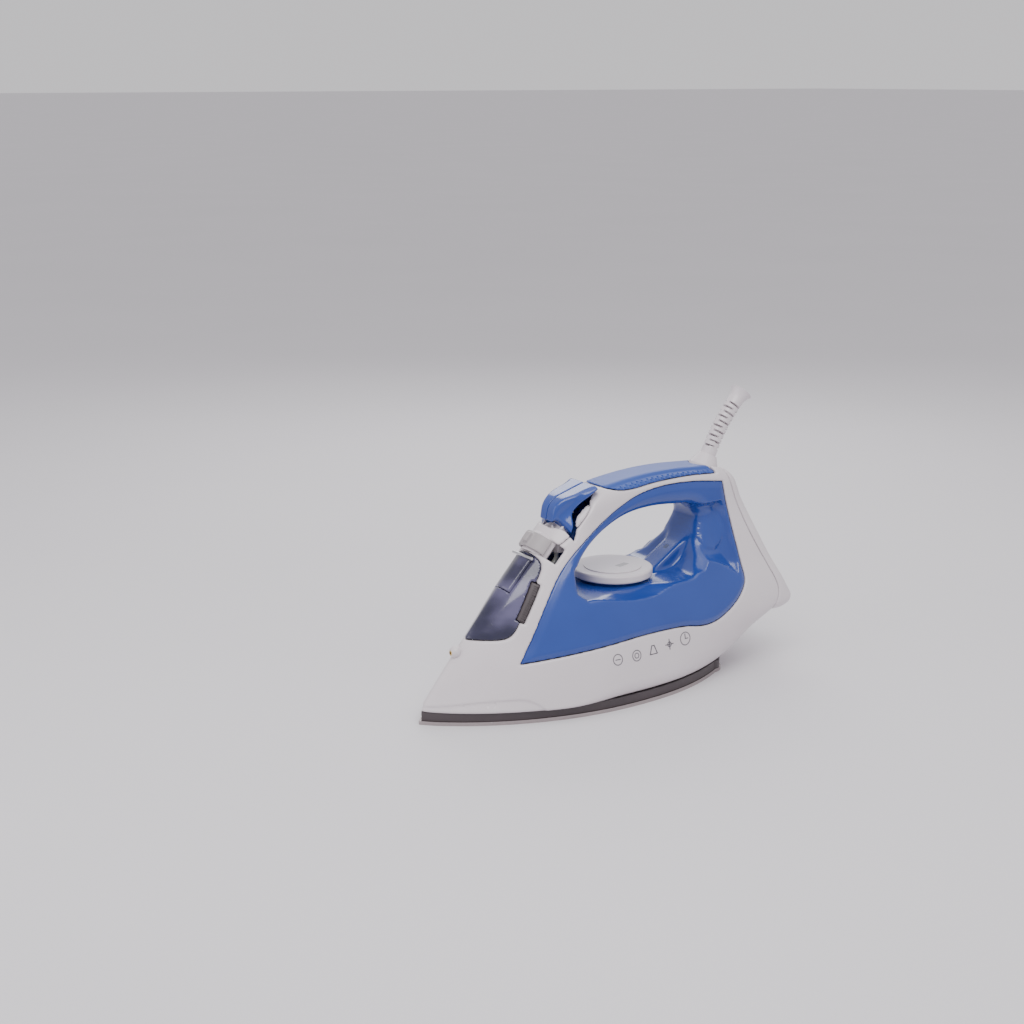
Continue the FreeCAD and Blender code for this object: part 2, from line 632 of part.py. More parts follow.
# ---------------------------------------------------------------- handle, housing, grip
swivel_lean = math.radians(GUARD_BASE_LEAN)
swivel_axis = Vector(math.sin(swivel_lean), 0, math.cos(swivel_lean))
swivel_place = Vector(along(COLLAR_X), 0, up(COLLAR_Z))
collar_hole = Part.makeCylinder(COLLAR_RADIUS + FIT_GAP, 30, swivel_place - swivel_axis * 5, swivel_axis)
DECK_RIDGE = (
    (183.5, 69, 0), (183.5, 72.5, 0), (190, 77, 1), (200, 84, 1), (212, 91.5, 1), (226, 98, 0),
    (226, 69, 0),
)
deck_ridge = side_prism(DECK_RIDGE, half=9.0)
lens_zone = side_prism(((188, 72, 0), (188, 90, 0), (203, 90, 0), (203, 72, 0)), half=1.9)
dial_boss_top = deck_z + 1.6
boss = rod(dial_x, 0, deck_z - 1, dial_boss_top, DIAL_CAP_RADIUS)
spindle_hole = rod(dial_x, 0, deck_z - 10, deck_z + 10, SPINDLE_RADIUS + RUNNING_GAP)
handle = shell.common(blue_zone).fuse([deck_ridge, boss])
handle = handle.cut([spindle_hole, lens_zone, collar_hole, grip_zone])
handle = handle.cut([well, lever_channel, cover])
add("inner_handle", one(handle))
lens = deck_ridge.common(lens_zone)
add("pilot_lens", one(lens))

nozzle_ball_space = Part.makeSphere(NOZZLE_RADIUS + 0.05, nozzle_place)
white = shell.cut([blue_zone, window_zone, grip_zone, rear_zone, cover_zone])
white = white.cut([collar_hole, lever_channel, well, level_zone, nozzle_ball_space, door_space, cover])
white = white.cut(tube_spaces)
add("main_housing", largest(white))
grip = shell.common(grip_zone).cut([collar_hole, well, rear_zone])
add("grip_pad", one(grip))

# ---------------------------------------------------------------- rear cover
def cover_screw_axis(side, z):
    return Vector(along(244), side * across(19.0), up(z))


screw_places = [cover_screw_axis(side, 62) for side in (-1, 1)]
rear = shell.common(rear_zone).cut(collar_hole)
boss_rods = [Part.makeCylinder(SCREW_HEAD + 1.2, 60, p + Vector(10, 0, 0), Vector(1, 0, 0)) for p in screw_places]
rear = rear.fuse([boss_rod.common(inner).common(rear_zone) for boss_rod in boss_rods])
rear_face_x = along(276.5)
screws = []
for p in screw_places:
    head_start = Vector(rear_face_x - 5.5, p.y, p.z)
    rear = rear.cut(Part.makeCylinder(SCREW_HEAD + 0.3, 40, head_start, Vector(1, 0, 0)))
    rear = rear.cut(Part.makeCylinder(SCREW_RADIUS, 60, p, Vector(1, 0, 0)))
    head = Part.makeCylinder(SCREW_HEAD, 2.2, head_start, Vector(1, 0, 0))
    shank = Part.makeCylinder(SCREW_RADIUS, 14, head_start - Vector(14, 0, 0), Vector(1, 0, 0))
    drive = Part.makeCylinder(1.1, 2, head_start + Vector(1.2, 0, 0), Vector(1, 0, 0))
    screws.append(head.fuse(shank).cut(drive))
add("rear_cover", one(rear))
add("rear_screws", Part.makeCompound([one(s) for s in screws]))

# ---------------------------------------------------------------- nozzle
bore = Part.makeCylinder(0.9, 30, nozzle_place + Vector(-10, 0, 0), Vector(1, 0, 0))
ball = Part.makeSphere(NOZZLE_RADIUS, nozzle_place)
insert_start = nozzle_place - Vector(NOZZLE_RADIUS + 0.2, 0, 0)
insert = Part.makeCylinder(1.7, 2.2, insert_start, Vector(1, 0, 0)).common(ball)
add("spray_nozzle", one(ball.cut([insert, bore, tube_spaces[0]])))
add("nozzle_tip", one(insert.cut(bore)))

# ---------------------------------------------------------------- dial
dial_low = dial_boss_top + 0.5
dial_high = dial_low + DIAL_THICKNESS
disc = rod(dial_x, 0, dial_low, dial_high, DIAL_RADIUS)
disc = disc.makeFillet(1.4, [e for e in disc.Edges if len(e.Vertexes) == 1])
disc = disc.cut(rod(dial_x, 0, dial_high - 0.4, dial_high + 1, DIAL_CAP_RADIUS))
disc = disc.cut(rod(dial_x, 0, 0, dial_high - 2.0, SPINDLE_RADIUS))
add("temperature_dial", one(disc))
add("dial_cap", rod(dial_x, 0, dial_high - 0.4, dial_high - 0.4 + DIAL_CAP_THICKNESS, DIAL_CAP_RADIUS - 0.05))
thermostat_top = 24.0
add("dial_spindle", rod(dial_x, 0, thermostat_top - 4.0, dial_high - 2.0, SPINDLE_RADIUS))
clip = rod(dial_x, 0, deck_z - WALL - 1.2, deck_z - WALL - 0.3, SPINDLE_RADIUS + 2.2)
add("spindle_clip", one(clip.cut(rod(dial_x, 0, 0, 100, SPINDLE_RADIUS))))

# ---------------------------------------------------------------- soleplate stack
sole = plate(0.0, 0.0, SOLE_THICKNESS)
holes = []
for k in range(13):
    x = along(26 + 12.0 * k)
    for share in (0.62, -0.62):
        holes.append(rod(x, share * sole_half_width(x, 0), -1, SOLE_THICKNESS + 1, STEAM_HOLE_RADIUS))
for k in range(5):
    holes.append(rod(along(22 + 11.0 * k), 0, -1, SOLE_THICKNESS + 1, STEAM_HOLE_RADIUS))
add("soleplate", one(sole.cut(holes)))

shield_wall = plate(SHIELD_INSET + 3.0, SKIRT_BOTTOM - 1, SHIELD_TOP)
shield = plate(SHIELD_INSET, SOLE_THICKNESS, SKIRT_BOTTOM).fuse(shield_wall)
shield = shield.cut(plate(SHIELD_INSET + 3.0 + SHIELD_WALL / 2, SOLE_THICKNESS - 1, SHIELD_TOP + 1))
add("base_shield", one(shield))

casting_inset = SHIELD_INSET + 3.0 + SHIELD_WALL / 2 + SEAT_GAP
casting = plate(casting_inset, SOLE_THICKNESS, CASTING_TOP)
chamber_x0 = along(72)
chamber_x1 = along(136)
chamber_half = ELEMENT_HALF_SPAN - ELEMENT_RADIUS - 1.5
chamber_ring = stadium(chamber_x0, chamber_x1, chamber_half, CASTING_TOP - 1, CHAMBER_TOP)
chamber_ring = chamber_ring.cut(stadium(chamber_x0 + CHAMBER_WALL, chamber_x1 - CHAMBER_WALL,
                                        chamber_half - CHAMBER_WALL, CASTING_TOP, CHAMBER_TOP + 1))
tower_places = [(along(36), 0.0), (along(200), across(24.0)), (along(200), -across(24.0))]
towers = [rod(x, y, CASTING_TOP - 1, HEAT_SHEET_BOTTOM, 4.0) for x, y in tower_places]
pad = box(dial_x - 14, dial_x + 22, -12, 12, CASTING_TOP - 1, CASTING_TOP + 3)
element_z = CASTING_TOP + 0.6
turn_x = along(95)
leg_end = along(196)
left_end = Vector(leg_end, -ELEMENT_HALF_SPAN, element_z)
right_end = Vector(leg_end, ELEMENT_HALF_SPAN, element_z)
left_turn = Vector(turn_x, -ELEMENT_HALF_SPAN, element_z)
right_turn = Vector(turn_x, ELEMENT_HALF_SPAN, element_z)
turn_middle = Vector(turn_x - ELEMENT_HALF_SPAN, 0, element_z)
u_edges = [Part.LineSegment(left_end, left_turn), Part.Arc(left_turn, turn_middle, right_turn),
           Part.LineSegment(right_turn, right_end)]
u_path = Part.Wire([edge.toShape() for edge in u_edges])
u_ring = Part.Wire(Part.Circle(left_end, Vector(1, 0, 0), ELEMENT_RADIUS).toShape())
element = u_path.makePipeShell([u_ring], True, False)
casting = casting.fuse([chamber_ring, pad] + towers).cut(element)
pins = [Part.makeCylinder(1.3, 9, end - Vector(1, 0, 0), Vector(1, 0, 0)) for end in (left_end, right_end)]
casting = casting.cut([Part.makeCylinder(1.8, 12, end, Vector(1, 0, 0)) for end in (left_end, right_end)])
element = element.fuse(pins)
screw_low = HEAT_SHEET_BOTTOM - 12
screw_high = HEAT_SHEET_BOTTOM + 1
casting = casting.cut([rod(x, y, screw_low, screw_high, SCREW_RADIUS) for x, y in tower_places])
add("heating_element", one(element))

lid = stadium(chamber_x0, chamber_x1, chamber_half, CHAMBER_TOP, chamber_lid)
lid_places = [(chamber_x0 + 1.6, 0.0), (chamber_x1 - 1.6, 0.0),
              (along(104), chamber_half - 1.5), (along(104), -(chamber_half - 1.5))]
lid_cut = [rod(x, y, CASTING_TOP + 2, chamber_lid + 1, 0.9) for x, y in lid_places]
lid = lid.cut([rod(rod_x, 0, 0, 60, 1.2), rod(rod_x - 3, 9.0, 0, 60, 1.0)] + lid_cut)
casting = casting.cut(lid_cut)
add("heater_casting", one(casting))
add("chamber_cover", one(lid))
add("chamber_screws", Part.makeCompound([one(rod(x, y, CASTING_TOP + 2, chamber_lid, 0.9).fuse(
    rod(x, y, chamber_lid, chamber_lid + 1.0, 1.5))) for x, y in lid_places]))

sheet_layer = box(-10, along(240), -FAR, FAR, HEAT_SHEET_BOTTOM, HEAT_SHEET_BOTTOM + HEAT_SHEET)
sheet = hollow_solid(WALL + 1.4).common(sheet_layer)
sheet_holes = [rod(rod_x, 0, 0, 60, 4.4), rod(dial_x, 0, 0, 60, SPINDLE_RADIUS + 0.6)]
sheet = sheet.cut(sheet_holes + [rod(rod_x - 3, 9.0, 0, 60, 2.0)])
sheet = sheet.cut([rod(x, y, 0, 60, SCREW_RADIUS + 0.1) for x, y in tower_places])
add("heat_sheet", one(sheet))
sheet_top = HEAT_SHEET_BOTTOM + HEAT_SHEET
add("base_screws", Part.makeCompound([one(rod(x, y, HEAT_SHEET_BOTTOM - 10, sheet_top, SCREW_RADIUS).fuse(
    rod(x, y, sheet_top, sheet_top + 1.8, SCREW_HEAD))) for x, y in tower_places]))

# ---------------------------------------------------------------- electrics
thermostat = box(dial_x - 12, dial_x + 20, -10, 10, CASTING_TOP + 3, thermostat_top - 3)
thermostat = thermostat.fuse(rod(dial_x, 0, thermostat_top - 3, thermostat_top, 6.5))
stem_bore = rod(dial_x, 0, thermostat_top - 4.0, thermostat_top + 1, SPINDLE_RADIUS + RUNNING_GAP)
thermostat = thermostat.cut(stem_bore)
add("thermostat", one(thermostat))
fuse_x = along(183)
fuse = Part.makeCylinder(2.6, 18, Vector(fuse_x, 0, CASTING_TOP + 2.6), Vector(1, 0, 0))
fuse = fuse.fuse(Part.makeCylinder(0.8, 26, Vector(fuse_x - 4, 0, CASTING_TOP + 2.6), Vector(1, 0, 0)))
add("thermal_fuse", one(fuse))
board = box(along(176), along(226), 7.0, 8.6, up(31), up(62))
capacitor = rod(along(213), 2.0, up(34), up(46), 5.0).fuse(box(along(212), along(214), 2, 7, up(36), up(40)))
board = board.fuse([box(along(184), along(202), -5, 7.0, up(34), up(52)), capacitor])
add("auto_off_board", one(board))
block_low = up(38)
terminal = box(along(236), along(254), -13, 13, block_low, block_low + 11)
for y in (-8, 0, 8):
    terminal = terminal.cut(rod(along(241), y, block_low + 6, block_low + 12, 2.0))
add("terminal_block", one(terminal))
clamp_low = up(112)
clamp = box(along(231), along(246), -9, 9, clamp_low, clamp_low + 8)
clamp = clamp.cut(rod(along(238.5), 0, clamp_low - 1, clamp_low + 9, CORD_BORE))
add("cord_clamp", one(clamp))
wires = []
for y in (-6.5, 0, 6.5):
    route = [Vector(along(248), y, block_low + 11), Vector(along(248), y, up(80)),
             Vector(along(240), y, up(100)), Vector(along(240), y, clamp_low)]
    wires.append(tube_along(route, 1.1, 8.0))
add("lead_wires", Part.makeCompound(wires))
lamp_x = along(195)
lamp = Part.makeCylinder(2.6, 12, Vector(lamp_x - 6, 0, deck_z - WALL - 4.5), Vector(1, 0, 0))
add("pilot_lamp", lamp)


# ---------------------------------------------------------------- cord outlet
base_lean = math.radians(GUARD_BASE_LEAN)
tip_lean = math.radians(GUARD_TIP_LEAN)
base_direction = Vector(math.sin(base_lean), 0, math.cos(base_lean))
tip_direction = Vector(math.sin(tip_lean), 0, math.cos(tip_lean))
bend_length = GUARD_LENGTH - GUARD_ROOT - GUARD_END
bend_radius = bend_length / (tip_lean - base_lean)
bend_reach = bend_radius * math.tan((tip_lean - base_lean) / 2)
guard_start = swivel_place + swivel_axis * (COLLAR_HEIGHT - GUARD_SEAT)
bend_corner = guard_start + base_direction * (GUARD_ROOT + bend_reach)
flare_start = bend_corner + tip_direction * (bend_reach + GUARD_END - FLARE_LENGTH)
tip_place = flare_start + tip_direction * FLARE_LENGTH


def guard_station(distance):
    """Place and direction on the guard's middle line, within its bend."""
    lean = base_lean + (distance - GUARD_ROOT) / bend_radius
    start = guard_start + base_direction * GUARD_ROOT
    step_x = math.cos(base_lean) - math.cos(lean)
    step_z = math.sin(lean) - math.sin(base_lean)
    return start + Vector(step_x, 0, step_z) * bend_radius, Vector(math.sin(lean), 0, math.cos(lean))


def guard_slot(distance, side, turned):
    """One slot through the guard's wall, on one side of its middle line."""
    place, direction = guard_station(distance)
    outwards = Vector(0, side, 0) if turned else direction.cross(Vector(0, side, 0))
    across_slot = direction.cross(outwards)
    reach = 2 * GUARD_RADIUS
    corner = place + outwards * GUARD_BRIDGE - across_slot * reach - direction * (GUARD_SLOT / 2)
    far = corner + across_slot * (2 * reach)
    corners = [corner, corner + outwards * reach, far + outwards * reach, far, corner]
    face = Part.Face(Part.makePolygon(corners))
    return face.extrude(direction * GUARD_SLOT)


guard = tube_along([guard_start, bend_corner, flare_start], GUARD_RADIUS, bend_radius)
flare_edge = Vector(GUARD_FLARE, 0, FLARE_LENGTH)
flare_middle = Vector(GUARD_RADIUS + (GUARD_FLARE - GUARD_RADIUS) * 0.3, 0, FLARE_LENGTH * 0.6)
flare_curve = Part.Arc(Vector(GUARD_RADIUS, 0, 0), flare_middle, flare_edge).toShape()
flare_sides = [Part.LineSegment(flare_edge, Vector(0, 0, FLARE_LENGTH)).toShape(),
               Part.LineSegment(Vector(0, 0, FLARE_LENGTH), Vector(0, 0, 0)).toShape(),
               Part.LineSegment(Vector(0, 0, 0), Vector(GUARD_RADIUS, 0, 0)).toShape()]
flare = Part.Face(Part.Wire([flare_curve] + flare_sides)).revolve(Vector(0, 0, 0), Vector(0, 0, 1), 360)
flare.Placement = FreeCAD.Placement(flare_start, FreeCAD.Rotation(Vector(0, 0, 1), tip_direction))
bore_points = [guard_start - base_direction, bend_corner, tip_place + tip_direction]
guard = guard.fuse(flare).cut(tube_along(bore_points, CORD_BORE, bend_radius))
for row in range(GUARD_ROWS):
    distance = GUARD_ROOT + GUARD_PITCH * (row + 0.5)
    for side in (-1, 1):
        guard = guard.cut(guard_slot(distance, side, row % 2 == 1))
add("cord_guard", one(guard))
profile = [Vector(CORD_BORE + 0.4, 0, -4), Vector(COLLAR_RADIUS, 0, -4), Vector(COLLAR_RADIUS, 0, 0.5),
           Vector(GUARD_RADIUS + 1.0, 0, COLLAR_HEIGHT), Vector(GUARD_RADIUS + 0.05, 0, COLLAR_HEIGHT),
           Vector(GUARD_RADIUS + 0.05, 0, COLLAR_HEIGHT - GUARD_SEAT - 0.05),
           Vector(CORD_BORE + 0.4, 0, COLLAR_HEIGHT - GUARD_SEAT - 0.05)]
ring_face = Part.Face(Part.makePolygon(profile + [profile[0]]))
collar = ring_face.revolve(Vector(0, 0, 0), Vector(0, 0, 1), 360)
collar.Placement = FreeCAD.Placement(swivel_place, FreeCAD.Rotation(Vector(0, 0, 1), swivel_axis))
add("swivel_collar", collar)

# ---------------------------------------------------------------- to the part's own frame
low_x = PIECES["soleplate"].BoundBox.XMin
high_x = along(285.0)
shift = Vector(-(low_x + high_x) / 2, 0, 0)
os.makedirs("parts", exist_ok=True)
for name, shape in PIECES.items():
    moved = shape.translated(shift)
    moved.exportStep("parts/" + name + ".step")


def report(label, place):
    print(label, [round(value / 1000, 6) for value in place])


report("dial axis", Vector(dial_x, 0, dial_low) + shift)
report("lever axis place", NECK_CENTRE + shift)
report("lever axis", RIDGE_UP * 1000)
report("door pin", LEVER_TOP + RIDGE_UP * PIN_UP + RIDGE_OUT * PIN_OUT + shift)
report("swivel place", swivel_place + shift)
report("swivel axis", swivel_axis * 1000)
report("guard tip", tip_place + shift)
report("guard tip direction", tip_direction * 1000)
report("shift", shift)
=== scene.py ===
# %% [markdown]
# # A steam iron, piece by piece
# A steam iron is a bright metal sole, a moulded shell over it, a see-through water tank at
# the nose and a handle with its controls.  The engineering model already says where every
# part is and how it moves.  This lesson gives the parts their rounded shapes and finishes.
# We begin by loading that model as a fixed frame, and note its outer box for later.

# %% The fixed frame
import json
import math
import bpy
import numpy as np
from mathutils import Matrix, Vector

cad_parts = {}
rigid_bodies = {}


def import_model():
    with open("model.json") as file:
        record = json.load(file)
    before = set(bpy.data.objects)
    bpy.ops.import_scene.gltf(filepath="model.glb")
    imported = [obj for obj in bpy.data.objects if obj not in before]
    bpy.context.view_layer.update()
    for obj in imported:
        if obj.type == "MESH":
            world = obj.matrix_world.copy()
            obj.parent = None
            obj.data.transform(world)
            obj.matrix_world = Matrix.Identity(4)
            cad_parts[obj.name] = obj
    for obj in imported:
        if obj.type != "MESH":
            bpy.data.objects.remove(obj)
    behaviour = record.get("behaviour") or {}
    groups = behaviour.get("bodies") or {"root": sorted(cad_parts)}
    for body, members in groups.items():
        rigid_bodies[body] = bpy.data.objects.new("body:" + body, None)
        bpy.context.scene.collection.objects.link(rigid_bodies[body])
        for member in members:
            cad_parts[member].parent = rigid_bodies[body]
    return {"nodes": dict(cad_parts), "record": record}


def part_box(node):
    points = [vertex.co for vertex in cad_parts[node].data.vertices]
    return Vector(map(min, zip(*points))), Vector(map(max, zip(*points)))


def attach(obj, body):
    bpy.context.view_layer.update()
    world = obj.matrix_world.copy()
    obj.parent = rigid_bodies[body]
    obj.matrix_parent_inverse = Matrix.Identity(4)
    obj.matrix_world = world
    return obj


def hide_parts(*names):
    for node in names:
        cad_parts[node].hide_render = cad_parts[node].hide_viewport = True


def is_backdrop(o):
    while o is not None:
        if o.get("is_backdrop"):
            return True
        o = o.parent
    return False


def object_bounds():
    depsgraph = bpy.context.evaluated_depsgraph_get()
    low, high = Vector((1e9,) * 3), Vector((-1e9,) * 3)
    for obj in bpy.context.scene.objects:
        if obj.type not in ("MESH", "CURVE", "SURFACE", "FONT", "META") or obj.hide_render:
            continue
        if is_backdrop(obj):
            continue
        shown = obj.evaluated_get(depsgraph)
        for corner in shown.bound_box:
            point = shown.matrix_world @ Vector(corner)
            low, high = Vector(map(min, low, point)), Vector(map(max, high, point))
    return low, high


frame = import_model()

CAD_BOX = [list(corner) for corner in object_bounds()]
dial_low, dial_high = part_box("temperature_dial")
DIAL_X = 155.0
SHIFT = (dial_low.x + dial_high.x) / 2 * 1000 - DIAL_X
print("engineering box", CAD_BOX, "nodes", len(frame["nodes"]), "shift", round(SHIFT, 3))

# %% [markdown]
# ## The camera
# The camera comes first, because every later choice is judged through it.  It stands in
# front of the nose, to the left and a little above, about four body lengths away: a long
# lens keeps the sole's edges nearly parallel, as in a shop picture.  The iron is measured
# in millimetres from the tip of its sole, so one function turns such a place into metres.

# %% Camera
def metres(place):
    """A place in the iron's own millimetres as metres in the frame."""
    return Vector(((place[0] + SHIFT) / 1000, place[1] / 1000, place[2] / 1000))


eye = metres((-503.5, -836.1, 397.0))
look_at = metres((145.8, -5.0, 84.6))
forward = (look_at - eye).normalized()
rightward = forward.cross(Vector((0, 0, 1))).normalized()
upward = rightward.cross(forward)
aim = look_at - rightward * 0.0634 + upward * 0.032
camera_data = bpy.data.cameras.new("shop_camera")
camera_data.sensor_width = 36.0
camera_data.lens = 57.96
camera_data.clip_start = 0.05
camera = bpy.data.objects.new("shop_camera", camera_data)
camera.location = eye
camera.rotation_euler = (aim - eye).to_track_quat("-Z", "Y").to_euler()
bpy.context.scene.collection.objects.link(camera)
bpy.context.scene.camera = camera
print("camera at", [round(c, 3) for c in eye])

# %% [markdown]
# ## Side outlines
# Seen from the side, the shell is a set of flat panels whose edges are drawn curves.  An
# outline is a list of (x, z, smooth) points: it bends smoothly through the points marked 1
# and has a corner at those marked 0.  Between points we use a Catmull-Rom curve, spaced by
# distance so that it never loops, and cut it into short straight steps.

# %% Outline curves
def spline_run(points, pace=1.2):
    """Short steps along a smooth curve through a few (x, z) points."""
    places = np.array(points, float)
    if len(places) == 2:
        return places[:1]
    before = 2 * places[0] - places[1]
    after = 2 * places[-1] - places[-2]
    knots = np.vstack([before, places, after])
    gaps = np.sqrt(np.linalg.norm(np.diff(knots, axis=0), axis=1))
    times = np.concatenate([[0], np.cumsum(gaps)])
    steps = []
    for k in range(1, len(knots) - 2):
        count = max(2, int(np.linalg.norm(knots[k + 1] - knots[k]) / pace))
        t = np.linspace(times[k], times[k + 1], count, endpoint=False)[:, None]
        a = [knots[k - 1 + j] * (times[k + j] - t) + knots[k + j] * (t - times[k - 1 + j]) for j in range(3)]
        a = [a[j] / (times[k + j] - times[k - 1 + j]) for j in range(3)]
        b = [(a[j] * (times[k + 1 + j] - t) + a[j + 1] * (t - times[k - 1 + j])) for j in range(2)]
        b = [b[j] / (times[k + 1 + j] - times[k - 1 + j]) for j in range(2)]
        steps.append((b[0] * (times[k + 1] - t) + b[1] * (t - times[k])) / (times[k + 1] - times[k]))
    return np.vstack(steps)


def outline_steps(outline):
    """The closed outline as one loop of short steps; it starts at a corner."""
    runs, run = [], [outline[0][:2]]
    for x, z, smooth in outline[1:] + outline[:1]:
        run.append((x, z))
        if not smooth:
            runs.append(spline_run(run))
            run = [(x, z)]
    return np.vstack(runs)


SILHOUETTE = [
    (-6, 8, 0), (90, 112.3, 0), (100, 122, 1), (114, 130.5, 1), (134, 137, 1), (156, 140.6, 1),
    (184, 142.5, 1), (214, 141.5, 1), (238, 138.5, 1), (248, 132, 1), (254, 116, 1), (264, 92, 1),
    (274, 69, 1), (281.5, 53, 1), (285, 45.5, 1), (283, 39, 1), (276, 36, 1), (265, 37.5, 0),
    (250, 27, 1), (234, 10.5, 0), (232, 8, 0)]
BLUE_PANEL = [
    (59.5, 36.6, 0), (70, 52, 1), (84, 74, 1), (95, 89, 1), (107, 101, 1), (121, 111, 1), (141, 122.5, 1),
    (159, 130, 1), (178, 133.5, 1), (206, 133.5, 1), (235, 130, 0), (239, 104, 1), (241.5, 74, 1),
    (240.5, 63, 1), (233, 54.5, 1), (219, 46.5, 1), (206, 42.3, 1), (194, 42, 1), (182, 44, 1),
    (162, 45, 1), (136, 44.5, 1), (110, 42.5, 1), (82, 39.5, 1)]
OPENING = [
    (103.5, 76, 0), (107.5, 88, 1), (114, 97, 1), (124, 105, 1), (139, 113, 1), (154, 118, 1),
    (172, 120, 1), (194, 119, 1), (211, 116, 1), (217, 108, 1), (214.5, 98, 1), (210.5, 88, 1),
    (206, 79, 1), (199, 73, 1), (191, 71.5, 0), (109, 71.5, 0)]
WINDOW = [
    (20, 50, 0), (56, 51.5, 1), (61.5, 55.5, 1), (66.5, 62.6, 1), (73, 72.6, 1), (79.6, 82.6, 1),
    (86.5, 94.5, 1), (85, 99.5, 1), (77, 103.5, 0), (60, 112, 0)]
GRIP_EDGE = [
    (130, 160, 0), (131.5, 141, 0), (138, 137.4, 1), (147, 135.2, 1), (158, 134.9, 1), (176, 136.6, 1),
    (204, 137.2, 1), (231, 135.6, 0), (220, 160, 0)]
REAR_SEAM = [
    (300, 160, 0), (239, 160, 0), (240, 137, 0), (246, 116, 1), (255, 92, 1), (265, 69, 1), (270, 52, 1),
    (262, 36, 0), (262, 20, 0), (300, 20, 0)]
COVER_SEAM = [
    (60, 160, 0), (60, 96, 0), (79, 103.6, 0), (86.5, 100.5, 0), (96, 104, 1), (108, 112, 1),
    (117, 120.5, 1), (125, 130, 1), (130, 142, 0), (130, 160, 0)]
BUTTON_SIDE = [
    (99.3, 119, 0), (101.5, 128.5, 1), (106.5, 133.3, 1), (117, 136.8, 1), (130, 140.6, 0), (131, 138.3, 0),
    (124, 133.5, 1), (117, 128.8, 1), (112.5, 124, 1), (110.5, 116.5, 1), (108, 112, 0), (104.5, 118.5, 1),
    (101.5, 119.5, 1)]
LEVEL_BAR = [(78.5, 85, 0), (82.3, 82.6, 0), (67.6, 60.2, 0), (64, 62.6, 0)]
print("steps round the silhouette", len(outline_steps(SILHOUETTE)))

# %% [markdown]
# ## Shapes as distances
# A moulded shell has soft edges everywhere, and every panel follows one common form.  We
# describe that form as a field of distances: at each point of a block of space, how far the
# surface is, negative inside.  Two shapes meet in the larger of their distances, and a
# rounded edge is a maximum with its corner filled in.  The zero level is then given a skin.

# %% A block of space, and rounded maximum
class Block:
    """A box-shaped grid of points, in millimetres.  mirrored keeps only the half at y > 0."""

    def __init__(self, low, high, step, mirrored=False):
        self.step, self.mirrored = step, mirrored
        self.low = np.array(low, float)
        if mirrored:
            self.low[1] = -step / 2
        counts = np.ceil((np.array(high) - self.low) / step).astype(int) + 1
        axes = [(self.low[k] + step * np.arange(counts[k])).astype(np.float32) for k in range(3)]
        self.x, self.y, self.z = np.meshgrid(*axes, indexing="ij", sparse=True)

    def outline(self, outline):
        """Distance from a side outline, the same for every y."""
        loop = outline_steps(outline) if len(outline[0]) == 3 else np.array(outline, float)
        x, z = np.broadcast_arrays(self.x[:, 0, :], self.z[:, 0, :])
        x, z = x.astype(float), z.astype(float)
        best = np.full(x.shape, 1e9)
        inside = np.zeros(x.shape, bool)
        for a, b in zip(loop, np.roll(loop, -1, axis=0)):
            dx, dz = b - a
            along = np.clip(((x - a[0]) * dx + (z - a[1]) * dz) / (dx * dx + dz * dz + 1e-12), 0, 1)
            best = np.minimum(best, (x - a[0] - along * dx) ** 2 + (z - a[1] - along * dz) ** 2)
            if a[1] != b[1]:
                crossing = a[0] + (z - a[1]) * dx / dz
                inside ^= ((a[1] > z) != (b[1] > z)) & (x < crossing)
        distance = np.sqrt(best)
        return np.where(inside, -distance, distance)[:, None, :].astype(np.float32)


def both(a, b, radius=0.0):
    """The space inside both shapes, with the edge between them rounded."""
    corner = np.maximum(a, b)
    if np.ndim(radius) == 0 and radius == 0:
        return corner
    return corner + np.maximum(radius - np.abs(a - b), 0) ** 2 / (4 * radius)


def either(a, b, radius=0.0):
    """The space inside one shape or the other, with a fillet between them."""
    return -both(-a, -b, radius)


def without(a, b, radius=0.0):
    return both(a, -b, radius)


def ease(value, start, end):
    """0 before start, 1 after end, and smooth between them."""
    t = np.clip((value - start) / (end - start), 0, 1)
    return t * t * (3 - 2 * t)


# %% [markdown]
# ## The skin of a field
# To mesh the zero level we use surface nets: each small cube of the grid that the surface
# crosses gets one vertex, at the mean of its crossings, and each crossed grid edge gets one
# four-sided face.  The result is an even net of quads that follows curved plastic well.

# %% Surface nets
CORNERS = [(i, j, k) for i in (0, 1) for j in (0, 1) for k in (0, 1)]
CUBE_EDGES = [(a, b) for a in range(8) for b in range(a + 1, 8)
              if sum(abs(p - q) for p, q in zip(CORNERS[a], CORNERS[b])) == 1]


